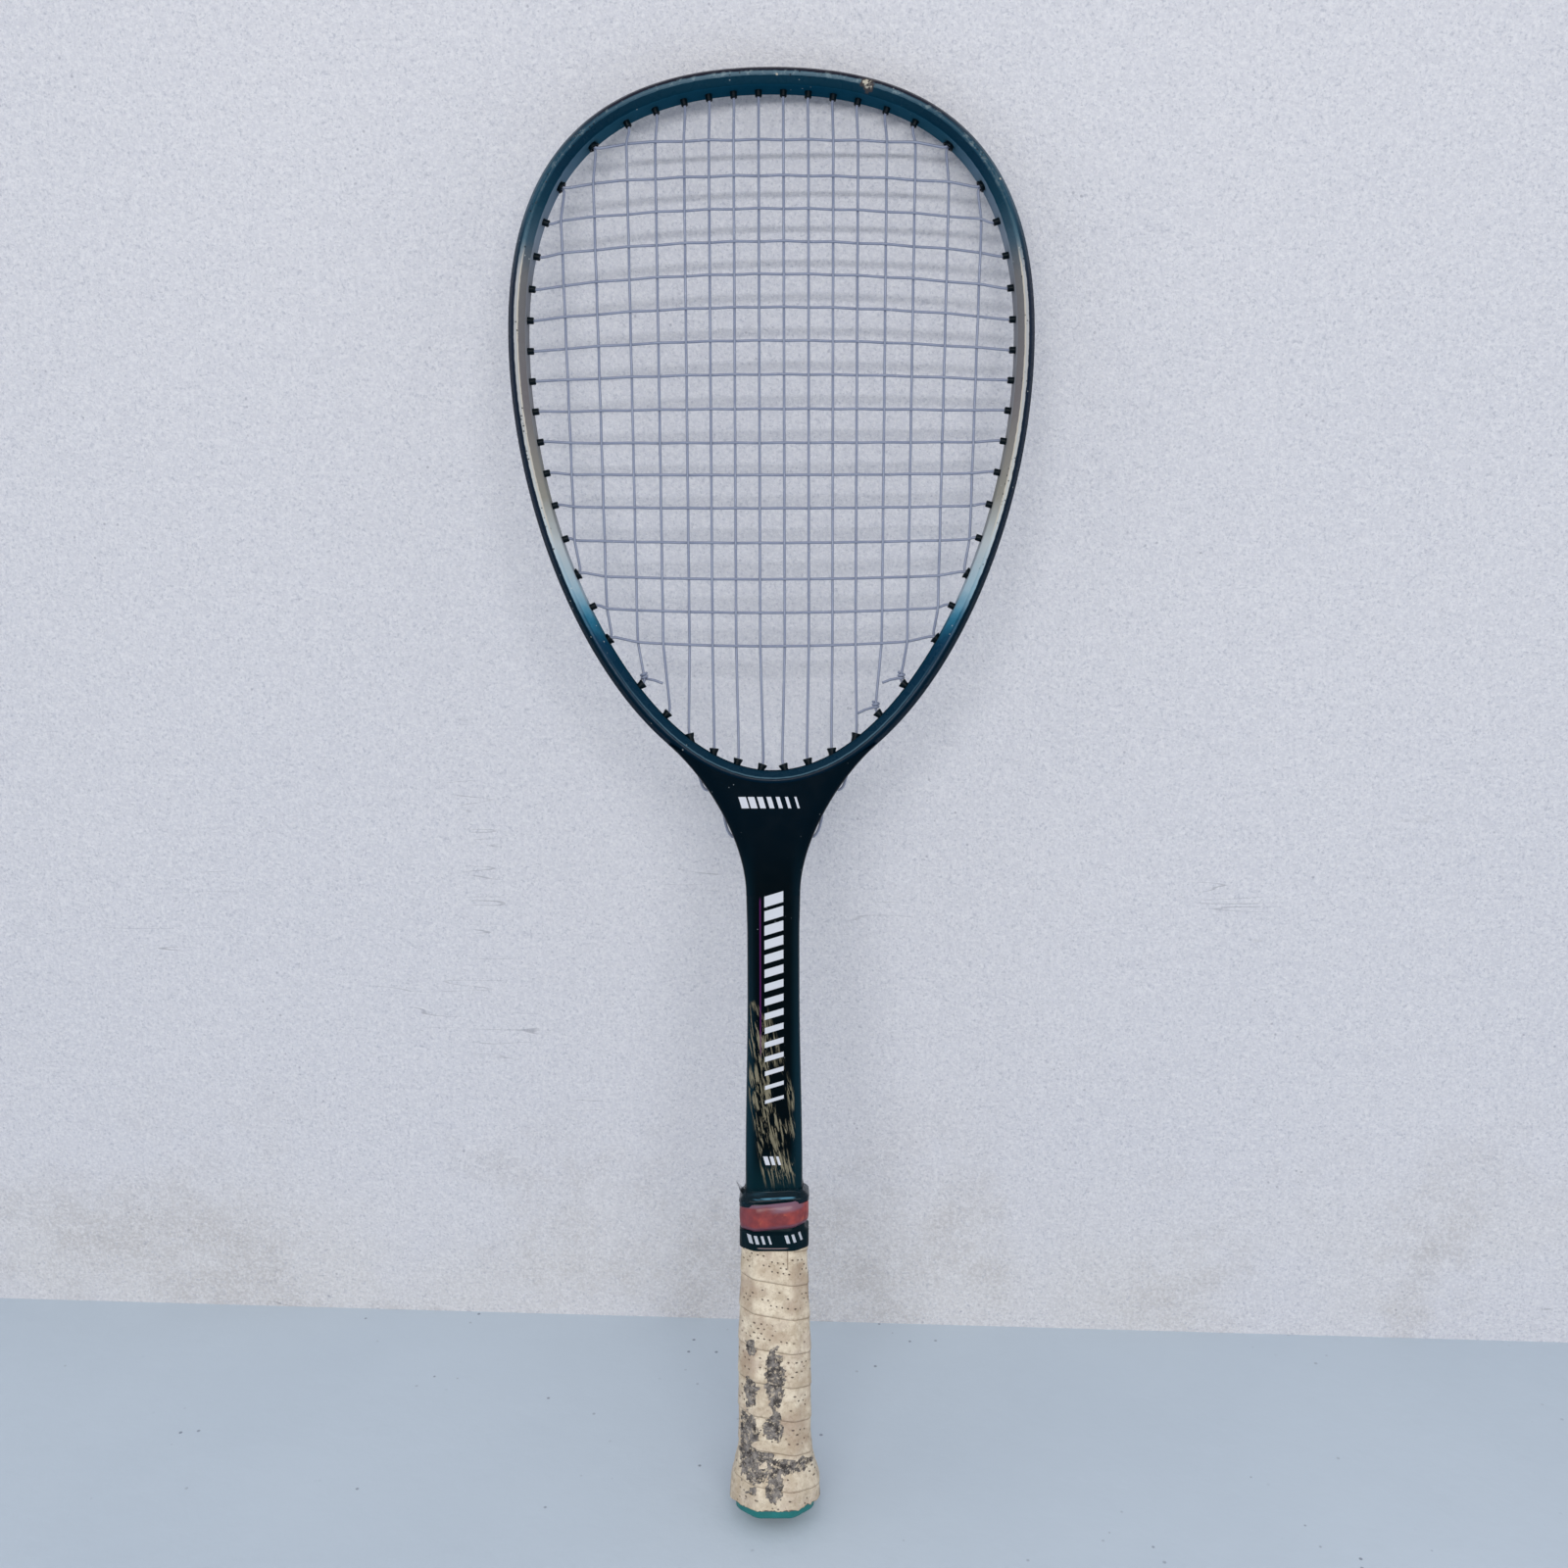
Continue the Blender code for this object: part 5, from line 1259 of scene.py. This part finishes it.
def grip_look():
    look = Look("grip tape", Roughness=0.82, Specular_IOR_Level=0.25)
    x, y, z = look.position()
    u, v = look.mapped("tape")
    wear = (look.attribute("wear") + look.noise(560, 6, 0.75) * 2.0 - 1.0).span(0.34, 0.6)
    look.coat(look.mix(look.noise(150, 5, 0.65).span(0.34, 0.64), (188, 173, 152), (220, 208, 188)))
    look.coat((162, 140, 120), look.attribute("stain") * 0.7)
    look.coat((174, 155, 142), look.noise(70, 5, 0.7).span(0.48, 0.62, 0.0, 0.4))
    look.coat((146, 126, 106), look.noise(620, 5, 0.7).span(0.5, 0.66, 0.0, 0.45))
    look.coat((130, 110, 90), v.span(1.3, 0.2, 0.0, 0.55))
    look.coat((112, 94, 78), abs(x - 6.4).span(0.5, 0.15) * z.span(120.5, 121.5) * (y < 0.0) * 0.6)
    step_v = v / 2.3
    row = step_v.floor()
    step_u = u / 2.7 + row * 0.5
    apart = ((step_u.fract() - 0.5) ** 2.0 + (step_v.fract() - 0.5) ** 2.0).root()
    spot = look.node("CombineXYZ", X=step_u.floor(), Y=row).outputs[0]
    chance = Field(look, look.node("TexWhiteNoise", Vector=spot).outputs["Value"])
    rows = v.within(4.5, 4.6, 13.7, 13.8) * look.noise(45).span(0.4, 0.5)
    hole = apart.span(0.2, 0.13) * (chance > 0.5) * rows
    look.coat((64, 52, 46), hole * 0.8)
    bare = look.mix(look.noise(280, 6, 0.75).span(0.36, 0.66), (54, 50, 50), (142, 136, 132))
    bare = look.mix(look.noise(520, 6, 0.78).span(0.53, 0.59, 0.0, 0.8), bare, (192, 178, 158))
    look.coat(bare, wear)
    look.bump((look.noise(260), 0.3), (look.noise(1100, 4, 0.65), 0.2), (1.0 - hole, 0.3), (1.0 - wear, 0.25))
    return look


def plain_look(name, first, second, roughness, scale=200, height=0.1):
    look = Look(name, Roughness=roughness)
    look.coat(look.mix(look.noise(scale, 4), first, second))
    look.bump((look.noise(scale * 3), height))
    return look


def tape_look():
    look = Look("finishing tape", Roughness=0.34, Specular_IOR_Level=0.07)
    x, y, z = look.position()
    look.coat(look.mix(look.noise(120), (0, 15, 22), (2, 29, 37)))
    height = z - (x / 16) ** 2.0 * 0.8
    middle = height - x * 0.03 - 135.8
    motif = bars(x, middle, -12.5, 3.3, 4, 0.6, 0.3, 2.0) | bars(x, middle, 5.5, 3.3, 3, 0.5, 0.3, 2.0)
    look.coat((196, 202, 212), motif * (y < 0.0) * 0.8)
    line = height.within(131.35, 131.5, 131.8, 131.95) * x.within(-8.5, -7, 5, 7.5)
    look.coat((170, 150, 152), line * (y < 0.0) * 0.6)
    look.bump((look.noise(240), 0.25))
    return look


def band_look():
    look = Look("band rubber", Roughness=0.36, Specular_IOR_Level=0.45, Subsurface_Weight=0.12,
                Subsurface_Scale=1.5 * MM, Subsurface_Radius=(1.0, 0.25, 0.2))
    x, y, z = look.position()
    height = z - x * BAND_SLANT - BAND_LOW + look.stray(130, 1.6, 3)
    look.coat(look.mix(look.noise(110, 4).span(0.35, 0.68), (112, 42, 48), (154, 62, 58)))
    look.coat((180, 88, 64), look.noise(170, 4, 0.6, None, 1.0).span(0.58, 0.72, 0.0, 0.5))
    # The band's left side painted darker: painted shade.
    look.coat((100, 44, 58), x.span(-9, -14, 0.0, 0.55))
    look.coat((98, 58, 74), height.span(2.8, 0.8))
    look.coat((112, 84, 102), height.span(10.6, 12.0))
    look.coat((118, 84, 102), height.span(7.6, 9.4) * x.within(-4, 3, 12, 15.5) * (y < 0.0) * 0.8)
    look.bump((look.noise(320), 0.3))
    return look


def film_look():
    look = Look("clear film", Roughness=0.2, Specular_IOR_Level=0.16)
    x, y, z = look.position()
    height = z - x * 0.05
    drawn = look.joined(x * 0.25, y, z)
    look.coat(look.mix(look.noise(300, 3, 0.5, drawn).span(0.5, 0.75, 0.0, 0.35), (0, 24, 34), (44, 82, 100)))
    # A pale blue streak across the film at one height: a painted highlight along its crease.
    crease_highlight = height.within(154.2, 154.6, 154.9, 155.3) * look.noise(420, 3, 0.5, drawn).span(0.4, 0.56)
    look.coat((84, 134, 158), crease_highlight * x.within(-11, -9, 8, 11))
    look.feed(look.shader.inputs["Alpha"], height.span(158.5, 156.8, 0.25, 0.92))
    look.bump((look.noise(380, 3, 0.5, drawn), 0.4))
    return look


# Racket
make_hoop(hoop_paint())
SHAFT_LOOK = shaft_paint()
make_throat(SHAFT_LOOK)
make_shaft(SHAFT_LOOK)
make_all_grommets(grommet_look())
make_strings(string_look())
make_wrap(grip_look())
make_cap(plain_look("cap plastic", (6, 98, 98), (22, 120, 120), 0.4))
make_underlay(plain_look("underlay", (84, 80, 80), (118, 113, 112), 0.85, 500, 0.3))
make_tape(tape_look())
make_band(band_look())
make_film(film_look())

FOAM = plain_look("core foam", (196, 186, 160), (176, 164, 136), 0.9, 700, 0.4)
PALLET = plain_look("pallet foam", (170, 150, 114), (150, 130, 98), 0.85, 400, 0.3)
BADGE = plain_look("badge plastic", (22, 70, 80), (34, 88, 96), 0.35)
for node, look, slot in (("shaft_foam_core", FOAM, "core_foam"), ("handle_pallet_front", PALLET, "pallet_foam"),
                         ("handle_pallet_back", PALLET, "pallet_foam"), ("butt_badge", BADGE, "badge_plastic")):
    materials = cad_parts[node].data.materials
    materials.clear()
    materials.append(look.material)


# Stage: the racket leans back on a wall that stands a little askew
LEAN = radians(11.95)
ASKEW = radians(2.95)
WALL_AWAY = 151.3
WALL_HEIGHT = 3000
STAGE_WIDTH = 6000
FLOOR_FRONT = 1300
FLOOR_DEPTH = 4000
BUTT_EDGE = 18.5
UP = Vector((0, -sin(LEAN), cos(LEAN)))
BACKWARDS = Vector((0, cos(LEAN), sin(LEAN)))
WALL_FOOT = Vector((0, WALL_AWAY, (WALL_AWAY - BUTT_EDGE) * tan(LEAN)))
WALL_ALONG = Vector((1, 0, 0)) * cos(ASKEW) - BACKWARDS * sin(ASKEW)


def stage_plane(name, corner, along, up, look):
    mesh = bpy.data.meshes.new(name)
    mesh.from_pydata([corner, corner + along, corner + along + up, corner + up], [], [(0, 1, 2, 3)])
    add_object(name, mesh, look)


def plaster():
    """The wall, clear from behind."""
    look = Look("wall plaster", Roughness=0.9, Specular_IOR_Level=0.2)
    x, _, z = look.position()
    look.coat(look.mix(look.noise(3.0, 4), (199, 201, 211), (211, 211, 218)))
    look.coat((204, 203, 205), look.noise(5, 4, 0.6).span(0.36, 0.6, 0.0, 0.7) * z.span(150, 50))
    look.coat((182, 179, 180), look.noise(9, 6, 0.7).span(0.48, 0.66, 0.0, 0.6) * z.span(200, 60))
    look.coat((230, 230, 234), look.noise(520, 5, 0.75).span(0.42, 0.62, 0.0, 0.5))
    look.coat((166, 170, 184), look.noise(640, 3, 0.6).span(0.54, 0.68, 0.0, 0.5))
    ridge = abs(look.noise(60, 2, 0.5, look.joined(x * 0.1, z, 400)) - 0.5)
    scratch = ridge.span(0.006, 0.002) * look.noise(14, 3, 0.6).span(0.6, 0.68)
    look.coat((140, 142, 152), scratch * z.span(480, 300, 0.06, 0.5))
    look.coat((140, 142, 156), look.specks(150, 0.14, 20, 0.56, 0.66) * 0.5)
    look.bump((look.noise(90, 5, 0.65), 1.2), (look.noise(500, 4, 0.7), 0.8))
    either = look.node("MixShader")
    behind = look.node("NewGeometry").outputs["Backfacing"]
    clear = look.node("BsdfTransparent").outputs[0]
    for socket, value in zip(either.inputs, (behind, look.shader.outputs[0], clear)):
        look.feed(socket, value)
    look.feed(look.tree.nodes["Material Output"].inputs["Surface"], either.outputs[0])
    return look


def floor_paint():
    look = Look("floor paint", Roughness=0.6, Specular_IOR_Level=0.3)
    look.coat(look.mix(look.noise(5.0, 4), (182, 194, 206), (196, 207, 218)))
    pits = look.cells(110).span(0.13, 0.07) * look.noise(22, 2).span(0.56, 0.66)
    look.coat((96, 104, 122), pits * 0.7)
    look.bump((look.noise(60, 4), 0.5))
    return look


ACROSS = Vector((STAGE_WIDTH, 0, 0))
FLOOR_CORNER = WALL_FOOT - BACKWARDS * FLOOR_FRONT - ACROSS / 2
stage_plane("floor", FLOOR_CORNER, ACROSS, BACKWARDS * FLOOR_DEPTH, floor_paint())
ACROSS = WALL_ALONG * STAGE_WIDTH
stage_plane("wall", WALL_FOOT - ACROSS / 2, ACROSS, UP * WALL_HEIGHT, plaster())

# The room: even light from all round, darker from where the photographer stands
world = bpy.data.worlds.new("room")
bpy.context.scene.world = world
world.use_nodes = True
tree = world.node_tree
direction = tree.nodes.new("ShaderNodeTexCoord")
split = tree.nodes.new("ShaderNodeSeparateXYZ")
level = tree.nodes.new("ShaderNodeMapRange")
level.interpolation_type = "SMOOTHSTEP"
for key, value in (("From Min", -0.95), ("From Max", -0.55), ("To Min", 0.3), ("To Max", 0.86)):
    level.inputs[key].default_value = value
tree.links.new(direction.outputs["Generated"], split.inputs[0])
tree.links.new(split.outputs["Y"], level.inputs["Value"])
tree.links.new(level.outputs["Result"], tree.nodes["Background"].inputs["Strength"])
tree.nodes["Background"].inputs["Color"].default_value = rgb(246, 250, 255)

LAMP_DISTANCE = 3.0
LAMP_RISE = radians(19)
LAMP_AIM = Vector((0, 0, 0.45))
lamp = bpy.data.lights.new("ceiling lights", "AREA")
lamp.shape = "RECTANGLE"
lamp.size = 3.2
lamp.size_y = 0.34
lamp.energy = 60
lamp.color = (1.0, 0.985, 0.96)
lamp_item = bpy.data.objects.new("ceiling lights", lamp)
lamp_item.location = LAMP_AIM + (UP * sin(LAMP_RISE) - BACKWARDS * cos(LAMP_RISE)) * LAMP_DISTANCE
lamp_item.rotation_euler = (LAMP_AIM - lamp_item.location).to_track_quat("-Z", "Y").to_euler()
bpy.context.scene.collection.objects.link(lamp_item)

# The photograph's camera
FOCAL_PIXELS = 1540
PICTURE_PIXELS = 1600
SENSOR = 36
CAMERA_PLACE = (0.0053, -0.7215, 0.3906)
CAMERA_TURN = (radians(87), radians(-0.15))
camera = bpy.data.cameras.new("photo camera")
camera.sensor_width = SENSOR
camera.lens = SENSOR * FOCAL_PIXELS / PICTURE_PIXELS
camera.clip_start = 0.01
camera_item = bpy.data.objects.new("photo camera", camera)
camera_item.matrix_world = (Matrix.Translation(CAMERA_PLACE) @ Matrix.Rotation(CAMERA_TURN[0], 4, "X")
                            @ Matrix.Rotation(CAMERA_TURN[1], 4, "Z"))
bpy.context.scene.collection.objects.link(camera_item)
bpy.context.scene.camera = camera_item
bpy.context.scene.view_settings.view_transform = "Standard"
